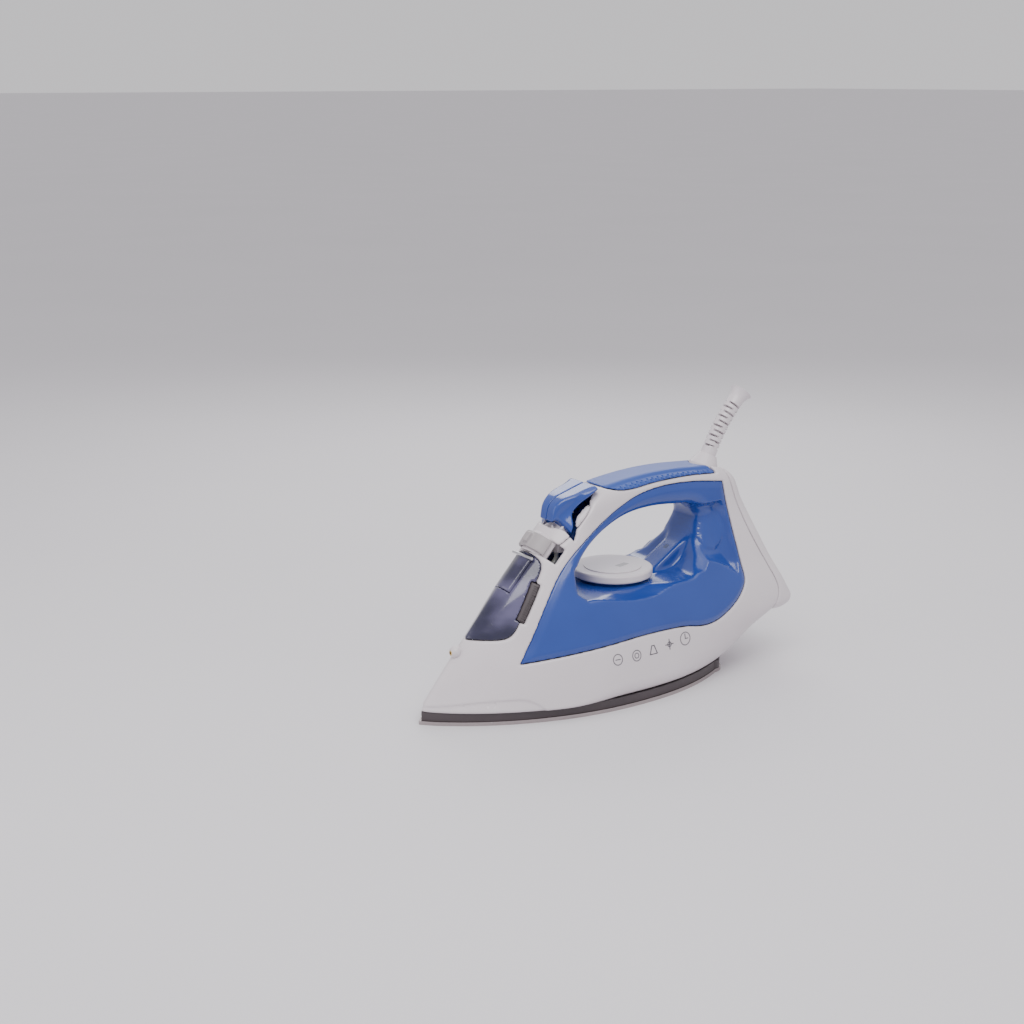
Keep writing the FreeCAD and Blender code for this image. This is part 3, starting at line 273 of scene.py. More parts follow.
def skin(block, field):
    """Vertices and faces of the field's zero level."""
    inside = field < 0
    n = field.shape
    part = [tuple(slice(c, n[k] - 1 + c) for k, c in enumerate(corner)) for corner in CORNERS]
    count = sum(inside[p].astype(np.int8) for p in part)
    cells = np.argwhere((count > 0) & (count < 8))
    number = np.full(count.shape, -1, np.int32)
    number[tuple(cells.T)] = np.arange(len(cells))
    values = np.stack([field[p][tuple(cells.T)] for p in part], axis=1)
    total, hits = np.zeros((len(cells), 3)), np.zeros(len(cells))
    for a, b in CUBE_EDGES:
        crossed = (values[:, a] < 0) != (values[:, b] < 0)
        t = np.where(crossed, values[:, a] / np.where(crossed, values[:, a] - values[:, b], 1), 0)
        place = np.array(CORNERS[a]) + t[:, None] * (np.array(CORNERS[b]) - np.array(CORNERS[a]))
        total += np.where(crossed[:, None], place, 0)
        hits += crossed
    verts = block.low + block.step * (cells + total / hits[:, None])
    faces = []
    for axis in range(3):
        u, w = (axis + 1) % 3, (axis + 2) % 3
        here, there = [slice(None)] * 3, [slice(None)] * 3
        here[axis], there[axis] = slice(0, n[axis] - 1), slice(1, n[axis])
        for k in (u, w):
            here[k] = there[k] = slice(1, n[k] - 1)
        start, end = inside[tuple(here)], inside[tuple(there)]
        edges = np.argwhere(start != end)
        outwards = start[tuple(edges.T)]
        edges[:, u] += 1
        edges[:, w] += 1
        step_u, step_w = np.eye(3, dtype=int)[u], np.eye(3, dtype=int)[w]
        around = [edges - step_u - step_w, edges - step_w, edges, edges - step_u]
        quads = np.stack([number[tuple(c.T)] for c in around], axis=1)
        quads[~outwards] = quads[~outwards][:, ::-1]
        faces.append(quads)
    faces = np.vstack(faces)
    if block.mirrored:
        middle = cells[:, 1] == 0
        verts[middle, 1] = 0
        twin = np.arange(len(verts))
        twin[~middle] = len(verts) + np.arange(np.count_nonzero(~middle))
        verts = np.vstack([verts, verts[~middle] * [1, -1, 1]])
        faces = np.vstack([faces, twin[faces][:, ::-1]])
    return verts, faces


MOST_QUADS = 95000


def thin_out(made, share):
    """Fewer faces where the surface is nearly flat, so that a piece stays light."""
    thinner = made.modifiers.new("thinner", "DECIMATE")
    thinner.ratio = share
    graph = bpy.context.evaluated_depsgraph_get()
    light = bpy.data.meshes.new_from_object(made.evaluated_get(graph))
    made.modifiers.clear()
    heavy, made.data = made.data, light
    bpy.data.meshes.remove(heavy)
    light.polygons.foreach_set("use_smooth", np.ones(len(light.polygons), bool))
    print(made.name, "thinned to", len(light.polygons), "faces")


def mesh_object(name, verts, faces):
    """A smooth-shaded mesh object from vertices in the iron's millimetres."""
    mesh = bpy.data.meshes.new(name)
    places = (np.asarray(verts, float) + [SHIFT, 0, 0]) / 1000
    faces = np.asarray(faces, np.int32)
    sides = faces.shape[1]
    mesh.vertices.add(len(places))
    mesh.vertices.foreach_set("co", places.astype(np.float32).ravel())
    mesh.loops.add(faces.size)
    mesh.loops.foreach_set("vertex_index", faces.ravel())
    mesh.polygons.add(len(faces))
    mesh.polygons.foreach_set("loop_start", np.arange(0, faces.size, sides, dtype=np.int32))
    mesh.update(calc_edges=True)
    mesh.polygons.foreach_set("use_smooth", np.ones(len(faces), bool))
    mesh.validate()
    made = bpy.data.objects.new(name, mesh)
    bpy.context.scene.collection.objects.link(made)
    if len(faces) > MOST_QUADS:
        thin_out(made, MOST_QUADS / len(faces))
    return made


# %% [markdown]
# ## Finishes
# A finish is a small network of shader nodes.  Written out node by node it is hard to
# read, so a wrapped socket understands + - * and the network reads like arithmetic.  Every
# finish has some unevenness of colour, gloss and surface, because real plastic and metal
# are never one flat colour.

# %% Shader arithmetic
class Value:
    """A shader socket on which arithmetic builds Math nodes."""

    def __init__(self, finish, socket):
        self.finish, self.socket = finish, socket

    def _math(self, operation, *values):
        return self.finish.node("ShaderNodeMath", {"operation": operation}, dict(enumerate(values)))

    def __add__(self, other): return self._math("ADD", self, other)
    def __sub__(self, other): return self._math("SUBTRACT", self, other)
    def __rsub__(self, other): return self._math("SUBTRACT", other, self)
    def __mul__(self, other): return self._math("MULTIPLY", self, other)
    def __truediv__(self, other): return self._math("DIVIDE", self, other)
    def __pow__(self, other): return self._math("POWER", self, other)
    __radd__, __rmul__ = __add__, __mul__

    def over(self, edge, soft):
        """0 below the edge and 1 above it, with a soft step."""
        settings = {"interpolation_type": "SMOOTHSTEP"}
        return self.finish.node("ShaderNodeMapRange", settings, {0: self, 1: edge - soft, 2: edge + soft})


class Finish:
    """One material with its main shader; constants go on the shader's own sockets."""

    def __init__(self, name, **constants):
        self.material = bpy.data.materials.new(name)
        self.material.use_nodes = True
        self.tree = self.material.node_tree
        self.shader = self.tree.nodes["Principled BSDF"]
        for socket, value in constants.items():
            self.shader.inputs[socket.replace("_", " ")].default_value = value
        self.place = self.node("ShaderNodeTexCoord", output="Object")

    def node(self, kind, settings=None, inputs=None, output=0):
        made = self.tree.nodes.new(kind)
        for key, value in (settings or {}).items():
            if key == "stops":
                while len(made.color_ramp.elements) < len(value):
                    made.color_ramp.elements.new(1.0)
                for element, (position, colour) in zip(made.color_ramp.elements, value):
                    element.position, element.color = position, (*colour, 1)
            else:
                setattr(made, key, value)
        for key, value in (inputs or {}).items():
            self.feed(made.inputs[key], value)
        return Value(self, made.outputs[output])

    def feed(self, socket, value):
        if isinstance(value, Value):
            self.tree.links.new(value.socket, socket)
        else:
            socket.default_value = value

    def noise(self, scale, detail=3.0, place=None, stretch=None):
        """Fractal noise from 0 to 1; scale is in features per metre."""
        where = place or self.place
        if stretch:
            where = self.node("ShaderNodeMapping", {}, {0: where, 3: stretch})
        return self.node("ShaderNodeTexNoise", {}, {"Vector": where, "Scale": scale, "Detail": detail})

    def mix(self, factor, dark, light):
        """Between two colours by a factor."""
        first = dark if isinstance(dark, Value) else (*dark, 1)
        second = light if isinstance(light, Value) else (*light, 1)
        return self.node("ShaderNodeMix", {"data_type": "RGBA"}, {0: factor, 6: first, 7: second}, output=2)

    def bump(self, height, strength, distance):
        sockets = {"Strength": strength, "Distance": distance, "Height": height}
        normal = self.node("ShaderNodeBump", {}, sockets)
        self.feed(self.shader.inputs["Normal"], normal)

    def paint(self, **sockets):
        for socket, value in sockets.items():
            self.feed(self.shader.inputs[socket.replace("_", " ")], value)


def moulded(name, dark, light, gloss, grain=0.02, **constants):
    """Moulded plastic: faint cloudy colour, uneven gloss and a fine spark-eroded grain."""
    finish = Finish(name, **constants)
    cloud = finish.noise(35.0, 2.0)
    speck = finish.noise(900.0, 4.0)
    finish.paint(Base_Color=finish.mix(cloud * 0.8 + speck * 0.2, dark, light))
    finish.paint(Roughness=gloss + cloud * 0.06 + speck * 0.05)
    finish.bump(speck + cloud * 3.0, grain, 0.0004)
    return finish.material


def metal(name, dark, light, gloss, stretch=(1, 1, 1), grain=0.05):
    """Metal with a drawn or cast grain that runs along the stretched axis."""
    finish = Finish(name, Metallic=1.0)
    lines = finish.noise(700.0, 4.0, stretch=stretch)
    cloud = finish.noise(60.0, 2.0)
    finish.paint(Base_Color=finish.mix(lines * 0.6 + cloud * 0.4, dark, light))
    finish.paint(Roughness=gloss + lines * 0.12 + cloud * 0.06)
    finish.bump(lines, grain, 0.0002)
    return finish.material


# %% The finishes of the iron
WHITE = moulded("white_shell", (0.64, 0.585, 0.615), (0.70, 0.645, 0.675), 0.26, 0.015,
                Coat_Weight=0.15, Coat_Roughness=0.2)
BLUE = moulded("royal_blue_shell", (0.014, 0.048, 0.26), (0.020, 0.062, 0.32), 0.16, 0.012,
               Coat_Weight=0.4, Coat_Roughness=0.08)
GRIP = moulded("soft_blue_grip", (0.018, 0.060, 0.30), (0.026, 0.080, 0.36), 0.42, 0.12, Sheen_Weight=0.15)
GREY = moulded("grey_lever", (0.33, 0.30, 0.31), (0.39, 0.36, 0.37), 0.32, 0.02)
DARK = moulded("dark_bracket", (0.045, 0.035, 0.04), (0.075, 0.06, 0.065), 0.38, 0.06)
RUBBER = moulded("seal_rubber", (0.02, 0.02, 0.022), (0.04, 0.04, 0.042), 0.6, 0.1)
TUBE = moulded("silicone_tube", (0.62, 0.62, 0.58), (0.72, 0.72, 0.68), 0.35, 0.03, Transmission_Weight=0.3)
BOARD = moulded("circuit_laminate", (0.03, 0.14, 0.06), (0.05, 0.2, 0.09), 0.3, 0.03)
LENS = moulded("pilot_lens", (0.012, 0.03, 0.12), (0.02, 0.05, 0.18), 0.08, 0.005, Coat_Weight=0.8)
SOLE = metal("polished_sole", (0.36, 0.31, 0.31), (0.50, 0.45, 0.45), 0.16, (0.05, 1, 1))
CAST = metal("cast_heater", (0.36, 0.36, 0.37), (0.5, 0.5, 0.51), 0.45, (1, 1, 1), 0.3)
STEEL = metal("bright_steel", (0.52, 0.52, 0.54), (0.68, 0.68, 0.70), 0.2)
BRASS = metal("turned_brass", (0.60, 0.42, 0.16), (0.78, 0.58, 0.26), 0.22, (1, 1, 0.1))


def smoky_tank():
    """Tinted clear plastic: violet grey, with darker streaks where the tank's floor and tubes show."""
    finish = Finish("smoky_tank", Coat_Weight=0.6, Coat_Roughness=0.04, IOR=1.49)
    streak = finish.noise(26.0, 3.0, stretch=(0.5, 1.0, 1.6))
    cloud = finish.noise(60.0, 2.0)
    shade = streak.over(0.52, 0.16)
    finish.paint(Base_Color=finish.mix(shade, (0.014, 0.014, 0.045), (0.12, 0.11, 0.21)))
    finish.paint(Roughness=0.08 + cloud * 0.05)
    finish.paint(Alpha=0.86 + cloud * 0.08)
    return finish.material


TANK = smoky_tank()
SLOT_FINISH = {
    "white_plastic": WHITE, "blue_plastic": BLUE, "soft_grip": GRIP, "tank_plastic": TANK,
    "grey_plastic": GREY, "dark_plastic": DARK, "pale_metal": SOLE, "cast_metal": CAST, "steel": STEEL,
    "brass": BRASS, "seal_rubber": RUBBER, "clear_tube": TUBE, "lens": LENS, "board": BOARD}
for subpart in frame["record"]["subparts"]:
    node = bpy.data.objects[subpart["node"]]
    node.data.materials.clear()
    node.data.materials.append(SLOT_FINISH[subpart["material_slot"]])
print("finishes", len(SLOT_FINISH))


def finished(made, material, slot_name, body, *replaced):
    """Gives a piece its finish, its body, and the engineering nodes it stands for."""
    made.data.materials.append(material)
    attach(made, body)
    if replaced:
        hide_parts(*replaced)
    print(made.name, "faces", len(made.data.polygons), "rides on", body)
    return made


# %% [markdown]
# ## The common form of the shell
# All casings share one form, as the parts of a real shell are cut from one styled surface.
# At each height a table gives where the nose ridge starts, where the body is widest, how
# wide it is, how blunt the nose is and how much it narrows to the rear.  From those we
# build one distance field, and its rounded crown comes from the side silhouette.

# %% The form's table and its field
LEVELS = [
    (8, 1.0, 135, 56.0, 1.20, 1.40), (26, 15, 135, 52.5, 1.15, 0.58), (45, 31, 135, 48, 1.15, 0.16),
    (60, 44, 130, 42, 1.20, 0.10), (77, 59, 120, 33, 1.30, 0.06), (100, 81.5, 116, 24, 1.42, 0),
    (120, 101.5, 123, 19.5, 1.6, 0), (142, 122, 142, 17.8, 2, 0), (156, 134, 155, 17.8, 2, 0)]
NARROWING_SPAN = 150.0
RIDGE_SOFT, RIDGE_SHARE = 1.2, 0.6


def table(z, column):
    """A column of LEVELS at the heights z, along a curve that never overshoots its rows."""
    rows = np.array(LEVELS)
    heights, values = rows[:, 0], rows[:, column]
    gaps, rises = np.diff(heights), np.diff(values) / np.diff(heights)
    product, total = rises[:-1] * rises[1:], rises[:-1] + rises[1:]
    inner = np.where(product > 0, 2 * product / np.where(product > 0, total, 1), 0)
    slopes = np.concatenate([rises[:1], inner, rises[-1:]])
    i = np.clip(np.searchsorted(heights, z, side="right") - 1, 0, len(gaps) - 1)
    t = (z - heights[i]) / gaps[i]
    start = values[i] * (1 + 2 * t) * (1 - t) ** 2 + slopes[i] * gaps[i] * t * (1 - t) ** 2
    return start + values[i + 1] * t * t * (3 - 2 * t) + slopes[i + 1] * gaps[i] * t * t * (t - 1)


def side_field(block):
    """Distance from the side surface, with the nose ridge blunted a little."""
    z = block.z.astype(float)
    ridge, widest, width, power, narrow = [table(z, k).astype(np.float32) for k in range(1, 6)]
    t = np.clip((widest - block.x) / (widest - ridge), 0, None)
    back = np.clip((block.x - widest) / NARROWING_SPAN, 0, None)
    width = width * np.clip(1 - narrow * back ** 2.5, 0.02, None)
    y = np.sqrt(block.y ** 2 + RIDGE_SOFT ** 2) - RIDGE_SOFT * RIDGE_SHARE
    form = ((y / width) ** power + t ** 2) ** (1 / power) - 1
    slope = np.sqrt(sum(g ** 2 for g in np.gradient(form, block.step)))
    return (form / np.maximum(slope, 1e-4)).astype(np.float32)


STEP = 0.8
body_block = Block((-4, 0, 6), (288, 59, 150), STEP, mirrored=True)
side = side_field(body_block)
top = body_block.outline(SILHOUETTE)
print("body block", side.shape)

# %% [markdown]
# ## The white shell
# The white shell is the common form, hollowed to a wall, with the other panels cut out of
# it.  Each cut leaves a hair-line gap, and its edge is rounded, so that neighbouring
# panels meet in the fine groove that real mouldings show.  Low on the nose the skirt steps
# in a little, where a button or zip slides under it.

# %% Panels cut from the common form
WALL = 2.6
GAP = 0.15
SKIRT = 8.0
crown = 2.0 + 9.0 * ease(body_block.x, 82, 130) - 4.5 * ease(body_block.x, 236, 262)
core = both(side, top, crown)
NOSE_STEP = [
    (-12, 4, 0), (0, 11.4, 0), (12, 12.6, 1), (31.7, 15.2, 1), (50, 16.2, 1), (59, 15.6, 1), (66, 12, 1),
    (71, 7, 1), (74, 2, 0)]
step_in = 1.0 * ease(-body_block.outline(NOSE_STEP), -0.4, 0.9)
form = both(both(side + 0.3 + step_in, top, crown), SKIRT - body_block.z, 0.8)
blue_zone = body_block.outline(BLUE_PANEL)
opening_zone = body_block.outline(OPENING)
window_zone = body_block.outline(WINDOW)
grip_zone = body_block.outline(GRIP_EDGE)
rear_zone = body_block.outline(REAR_SEAM)
cover_zone = body_block.outline(COVER_SEAM)
bar_zone = body_block.outline(LEVEL_BAR)
wall = without(form, core + WALL)


def panel(field, zones, edge=1.0):
    for zone in zones:
        field = both(field, GAP - zone, edge)
    return field


def rod_field(block, place, axis, radius):
    """Distance from an endless round rod, and the distance along it."""
    px, py, pz = block.x - place[0], block.y - place[1], block.z - place[2]
    along = px * axis[0] + py * axis[1] + pz * axis[2]
    return np.sqrt(np.maximum(px * px + py * py + pz * pz - along * along, 0)) - radius, along


joint_place = {joint["name"]: joint for joint in frame["record"]["behaviour"]["joints"]}
COLLAR_PLACE = np.array(joint_place["cord_swivel"]["pos_m"]) * 1000 - [SHIFT, 0, 0]
COLLAR_AXIS = np.array(joint_place["cord_swivel"]["axis"])
collar_rod, collar_along = rod_field(body_block, COLLAR_PLACE, COLLAR_AXIS, 10.8)
collar_space = both(collar_rod, -12 - collar_along)
housing = panel(wall, [blue_zone, grip_zone, window_zone, rear_zone, cover_zone, bar_zone])
housing = without(housing, collar_space, 0.6)
rear = both(without(wall, collar_space, 0.6), rear_zone + GAP, 1.0)
made = mesh_object("white_rear_cover", *skin(body_block, rear))
finished(made, WHITE, "white_plastic", "iron_body", "rear_cover")

# %% [markdown]
# ## The nose cover, with its neck and wells
# The nose cover holds the moving controls.  The steam lever rides round a drum-shaped neck,
# whose axis runs along the ridge, so we measure u along the ridge and v out from it.  The
# buttons sink into a well, so the cover dips under them by more than their travel.

# %% Nose cover
lever_joint = joint_place["lever_swing"]
NECK = np.array(lever_joint["pos_m"]) * 1000 - [SHIFT, 0, 0]
RIDGE_UP = np.array(lever_joint["axis"])
RIDGE_OUT = np.array([-RIDGE_UP[2], 0, RIDGE_UP[0]])
NECK_RADIUS, LEVER_IN, LEVER_OUT, LEVER_HALF = 12.4, 12.8, 15.4, 5.5


def ridge_frame(block):
    """u along the ridge, v out of it, and the radius about the neck's axis."""
    u = (block.x - NECK[0]) * RIDGE_UP[0] + (block.z - NECK[2]) * RIDGE_UP[2]
    v = (block.x - NECK[0]) * RIDGE_OUT[0] + (block.z - NECK[2]) * RIDGE_OUT[2]
    return u, v, np.sqrt(v * v + block.y ** 2)


def lowered(outline, drop):
    return [(x, z - drop, smooth) for x, z, smooth in outline]


TRAVEL = 3.5
u, v, neck_distance = ridge_frame(body_block)
channel = both(both(NECK_RADIUS - neck_distance, np.abs(u) - LEVER_HALF - 0.4), -v - 1.0)
well = body_block.outline(BUTTON_SIDE)
for drop in (TRAVEL / 2, TRAVEL + 0.3):
    well = np.minimum(well, body_block.outline(lowered(BUTTON_SIDE, drop)))
well = well - 0.35
housing = without(without(housing, well, 0.6), channel, 0.6)
made = mesh_object("white_side_shell", *skin(body_block, housing))
finished(made, WHITE, "white_plastic", "iron_body", "main_housing")
cover = both(panel(wall, [window_zone, grip_zone]), cover_zone + GAP, 1.0)
cover = without(without(cover, well, 0.8), channel, 0.6)
neck = both(both(neck_distance - NECK_RADIUS, np.abs(u) - LEVER_HALF - 1.4), 8.0 - neck_distance)
neck = both(neck, 2.0 - v)
seat = both(both(core + 5.8, -(core + 7.6)), well - 1.2)
cover = either(cover, either(neck, both(seat, cover_zone)), 0.3)
ring_u = -(LEVER_HALF + 2.4)
collar_band = both(both(core - 0.5, -(core + 1.0)), np.abs(u - ring_u) - 1.5, 0.5)
cover = either(cover, both(collar_band, cover_zone + 0.3), 0.4)
cover = without(cover, channel)
made = mesh_object("white_nose_cover", *skin(body_block, cover))
finished(made, WHITE, "white_plastic", "iron_body", "front_cover")

# %% [markdown]
# ## The blue handle panel
# The blue moulding carries the hand opening.  Its rim rises from the white shell along a
# gentle ramp, the handle's underside is round for the fingers, and below the handle the
# surface is dished so that the post and the deck under the dial stand back from the sides.

# %% Blue panel
DISH = [
    (103, 92, 0), (99, 77, 0), (111, 72.5, 1), (133, 68.2, 1), (148, 66.4, 1), (162, 66.8, 1), (175, 70, 1),
    (196, 73.2, 1), (208, 74.5, 0), (213, 80, 0), (222, 77, 1), (236, 68, 0), (239, 76, 1), (237.5, 95, 1),
    (235.5, 112, 1), (233, 117.5, 0), (214, 117.5, 1), (200, 119, 1), (186, 119, 0), (170, 100, 0)]
dish_zone = body_block.outline(DISH)
depth = np.maximum(-dish_zone, 0)
deep = 15.0 - 7.0 * ease(body_block.x, 165, 205)
dish = deep * (1 - np.exp(-depth * 2.2 / deep)) * ease(body_block.x, 98, 118)
ramp = 1.1 * (1 - ease(-blue_zone, 0.0, 4.5))
LEAF = [
    (215, 114, 0), (212.5, 104, 1), (213, 95, 1), (217, 86, 0), (226, 84, 1), (233, 90, 1), (234, 100, 1),
    (228, 112, 1)]
leaf = body_block.outline(LEAF)
blue_side = side + ramp + dish - 1.3 * ease(-leaf, -0.6, 2.2)
finger_round = 3.0 + 6.0 * ease(body_block.z, 76, 96)
panel_form = both(blue_side, blue_zone + GAP, 0.8)
panel_form = without(panel_form, opening_zone, finger_round)
cavity = both(blue_side + 3.4, 2.6 - opening_zone)
blue = without(panel_form, cavity)
DECK_RIDGE = [
    (182, 66, 0), (182, 72.5, 0), (190, 77.5, 1), (200, 84, 1), (212, 91.5, 1), (224, 98, 0), (224, 66, 0)]
deck_ridge = both(body_block.outline(DECK_RIDGE), body_block.y - 9, 3.0)
BOSS_RADIUS, BOSS_LOW, BOSS_TOP = 22.0, 66, 73.2
boss = rod_field(body_block, (DIAL_X, 0, 70), (0, 0, 1), BOSS_RADIUS)[0]
boss = both(both(boss, body_block.z - BOSS_TOP, 1.0), BOSS_LOW - body_block.z)
blue = either(either(blue, deck_ridge, 4.0), boss, 2.0)
made = mesh_object("blue_handle_panel", *skin(body_block, blue))
finished(made, BLUE, "blue_plastic", "iron_body", "inner_handle")

# %% [markdown]
# ## The soft grip
# A soft pad covers the top of the handle.  It has a lower edge that fades into the white
# strip and a raised crown down the middle, where the palm rests.

# %% Grip pad
pad_low = both(side + 0.5, top + 2.2, 8.0)
pad_crown = both(both(top, body_block.y - 12.0, 4.0), side + 1.5, 4.0)
pad_outside = either(pad_low, pad_crown, 0.5)
pad = both(pad_outside, grip_zone + GAP, 1.2)
pad = without(pad, core + 4.0)
pad = both(without(pad, collar_space, 0.8), GAP - rear_zone, 0.8)
made = mesh_object("soft_grip_pad", *skin(body_block, pad))
finished(made, GRIP, "soft_grip", "iron_body", "grip_pad")

# %% [markdown]
# ## The tank window and its level bar
# The water tank reaches the outside as a tinted window on both sides of the nose.  Next to
# it a dark ribbed bar shows the level.  The bar's ribs repeat, so Geometry Nodes lay them.

# %% Tank window
window = both(side + 0.5, window_zone + GAP, 1.0)
window = both(window, top + 0.4, 0.8)
window = without(window, core + 3.0)
window = panel(window, [bar_zone], 0.6)
DOOR_LOW, DOOR_HIGH, DOOR_HALF = -37.0, -9.5, 7.7
door_along = np.abs(u - (DOOR_LOW + DOOR_HIGH) / 2) - (DOOR_HIGH - DOOR_LOW) / 2
door_zone = both(door_along, body_block.y - DOOR_HALF)
window = without(window, door_zone - 0.3, 0.5)
made = mesh_object("tank_window", *skin(body_block, window))
finished(made, TANK, "tank_plastic", "iron_body", "water_tank")
door = both(both(core + 0.3, -(core + 2.9)), door_zone, 1.2)
made = mesh_object("tank_fill_door", *skin(body_block, door))
finished(made, TANK, "tank_plastic", "fill_door", "fill_door")
bar = both(both(side + 0.6, bar_zone + GAP, 0.5), -(side + 2.4))
made = mesh_object("level_bar_beds", *skin(body_block, bar))
finished(made, DARK, "dark_plastic", "iron_body", "level_bars")

# %% Places on the shell's side
def side_y(x, z):
    """Half width of the shell at one place on its side."""
    ridge, widest, width, power, narrow = [float(table(float(z), k)) for k in range(1, 6)]
    if x < widest:
        t = min(1.0, max(0.0, (widest - x) / (widest - ridge)))
        reach = width * (1 - t ** 2) ** (1 / power)
    else:
        reach = width * (1 - narrow * ((x - widest) / NARROWING_SPAN) ** 2.5)
    return math.sqrt(max((reach + RIDGE_SOFT * RIDGE_SHARE) ** 2 - RIDGE_SOFT ** 2, 0.0))


def side_point(x, z, proud=0.0, way=-1):
    """A place on the side, moved out along its normal, and that normal."""
    h = 0.4
    gx = (side_y(x + h, z) - side_y(x - h, z)) / (2 * h)
    gz = (side_y(x, z + h) - side_y(x, z - h)) / (2 * h)
    normal = np.array([-gx, 1.0, -gz]) / math.sqrt(1 + gx * gx + gz * gz)
    place = np.array([x, side_y(x, z), z]) + normal * (proud - 0.3)
    return place * [1, way, 1], normal * [1, way, 1]


# %% [markdown]
# ## Repeats with Geometry Nodes
# Ribs, dots and ticks are the same small shape many times over.  We give the
# nodes a cloud of anchor points, each with its outward normal and its heading, and one
# tree puts a small block or dome on every anchor.  The result becomes a plain mesh.

# %% A tree that sets one small shape on every anchor
def repeat_tree():
    tree = bpy.data.node_groups.new("set_on_anchors", "GeometryNodeTree")
    sockets = {}
    for label, kind in (("Anchors", "Geometry"), ("Length", "Float"), ("Width", "Float"), ("Height", "Float"),
                        ("Round", "Bool"), ("Finish", "Material")):
        sockets[label] = tree.interface.new_socket(label, in_out="INPUT", socket_type="NodeSocket" + kind)
    tree.interface.new_socket("Result", in_out="OUTPUT", socket_type="NodeSocketGeometry")
    node, link = tree.nodes.new, tree.links.new
    start, end = node("NodeGroupInput"), node("NodeGroupOutput")
    size = node("ShaderNodeCombineXYZ")
    for k, label in enumerate(("Length", "Width", "Height")):
        link(start.outputs[label], size.inputs[k])
    block, dome = node("GeometryNodeMeshCube"), node("GeometryNodeMeshIcoSphere")
    dome.inputs["Radius"].default_value, dome.inputs["Subdivisions"].default_value = 0.5, 2
    choose = node("GeometryNodeSwitch")
    choose.input_type = "GEOMETRY"
    link(start.outputs["Round"], choose.inputs["Switch"])
    link(block.outputs["Mesh"], choose.inputs["False"])
    link(dome.outputs["Mesh"], choose.inputs["True"])
    normal, heading = node("GeometryNodeInputNamedAttribute"), node("GeometryNodeInputNamedAttribute")
    for reader, label in ((normal, "out"), (heading, "ahead")):
        reader.data_type = "FLOAT_VECTOR"
        reader.inputs["Name"].default_value = label
    upright, turned = node("FunctionNodeAlignRotationToVector"), node("FunctionNodeAlignRotationToVector")
    upright.axis, turned.axis, turned.pivot_axis = "Z", "X", "Z"
    link(normal.outputs["Attribute"], upright.inputs["Vector"])
    link(upright.outputs["Rotation"], turned.inputs["Rotation"])
    link(heading.outputs["Attribute"], turned.inputs["Vector"])
    place = node("GeometryNodeInstanceOnPoints")
    link(start.outputs["Anchors"], place.inputs["Points"])
    link(choose.outputs["Output"], place.inputs["Instance"])
    link(turned.outputs["Rotation"], place.inputs["Rotation"])
    link(size.outputs["Vector"], place.inputs["Scale"])
    real, paint = node("GeometryNodeRealizeInstances"), node("GeometryNodeSetMaterial")
    link(place.outputs["Instances"], real.inputs["Geometry"])
    link(real.outputs["Geometry"], paint.inputs["Geometry"])
    link(start.outputs["Finish"], paint.inputs["Material"])
    link(paint.outputs["Geometry"], end.inputs["Result"])
    return tree, {label: socket.identifier for label, socket in sockets.items()}


REPEAT_TREE, REPEAT_SOCKETS = repeat_tree()


def repeated(name, anchors, size, finish, slot_name, body, rounded=False, bevel=0.0):
    """anchors are (place, normal, heading) in millimetres; size is (length, width, height)."""
    mesh = bpy.data.meshes.new(name)
    mesh.from_pydata([tuple(metres(a[0])) for a in anchors], [], [])
    for label, k in (("out", 1), ("ahead", 2)):
        attribute = mesh.attributes.new(label, "FLOAT_VECTOR", "POINT")
        attribute.data.foreach_set("vector", np.array([a[k] for a in anchors], np.float32).ravel())
    source = bpy.data.objects.new(name + "_anchors", mesh)
    bpy.context.scene.collection.objects.link(source)
    modifier = source.modifiers.new("repeat", "NODES")
    modifier.node_group = REPEAT_TREE
    for label, value in zip(("Length", "Width", "Height"), size):
        modifier[REPEAT_SOCKETS[label]] = value / 1000
    modifier[REPEAT_SOCKETS["Round"]] = rounded
    modifier[REPEAT_SOCKETS["Finish"]] = finish
    if bevel:
        edge = source.modifiers.new("edge", "BEVEL")
        edge.width, edge.segments = bevel / 1000, 2
    graph = bpy.context.evaluated_depsgraph_get()
    plain = bpy.data.meshes.new_from_object(source.evaluated_get(graph))
    bpy.data.objects.remove(source)
    plain.name = name
    plain.materials.clear()
    plain.polygons.foreach_set("material_index", np.zeros(len(plain.polygons), np.int32))
    plain.polygons.foreach_set("use_smooth", np.full(len(plain.polygons), rounded))
    made = bpy.data.objects.new(name, plain)
    bpy.context.scene.collection.objects.link(made)
    return finished(made, finish, slot_name, body)


# %% Ribs of the level bars
rib_anchors = []
for way in (-1, 1):
    for k in range(17):
        share = (k + 1) / 18
        x = 80.4 + (65.8 - 80.4) * share
        z = 83.8 + (61.4 - 83.8) * share
        place, normal = side_point(x, z, -0.2, way)
        rib_anchors.append((place, normal, (0.84, 0, -0.54)))
repeated("level_bar_ribs", rib_anchors, (3.0, 0.55, 0.7), DARK, "dark_plastic", "iron_body", bevel=0.1)

# %% [markdown]
# ## Lever and buttons
# The lever is a curved saddle with a thumb tab, concentric with its joint, so it slides
# round its neck when it turns.  The two buttons share one drawn outline, split down the
# middle: one half sprays, the other gives a burst.

# %% Lever
lever_block = Block((70, -24, 78), (112, 24, 128), 0.5)
u, v, radius = ridge_frame(lever_block)
saddle = both(both(LEVER_IN - radius, radius - LEVER_OUT), np.abs(u) - LEVER_HALF, 0.8)
spread = np.radians(62.0)
saddle = both(saddle, np.abs(lever_block.y) * np.cos(spread) - v * np.sin(spread), 0.8)
tab = both(both(np.abs(lever_block.y) - 2.6, np.abs(u) - 3.6, 1.0), both(v - 18.0, LEVER_IN - radius), 1.0)
made = mesh_object("steam_lever_saddle", *skin(lever_block, either(saddle, tab, 1.6)))
finished(made, GREY, "grey_plastic", "steam_lever", "steam_lever")

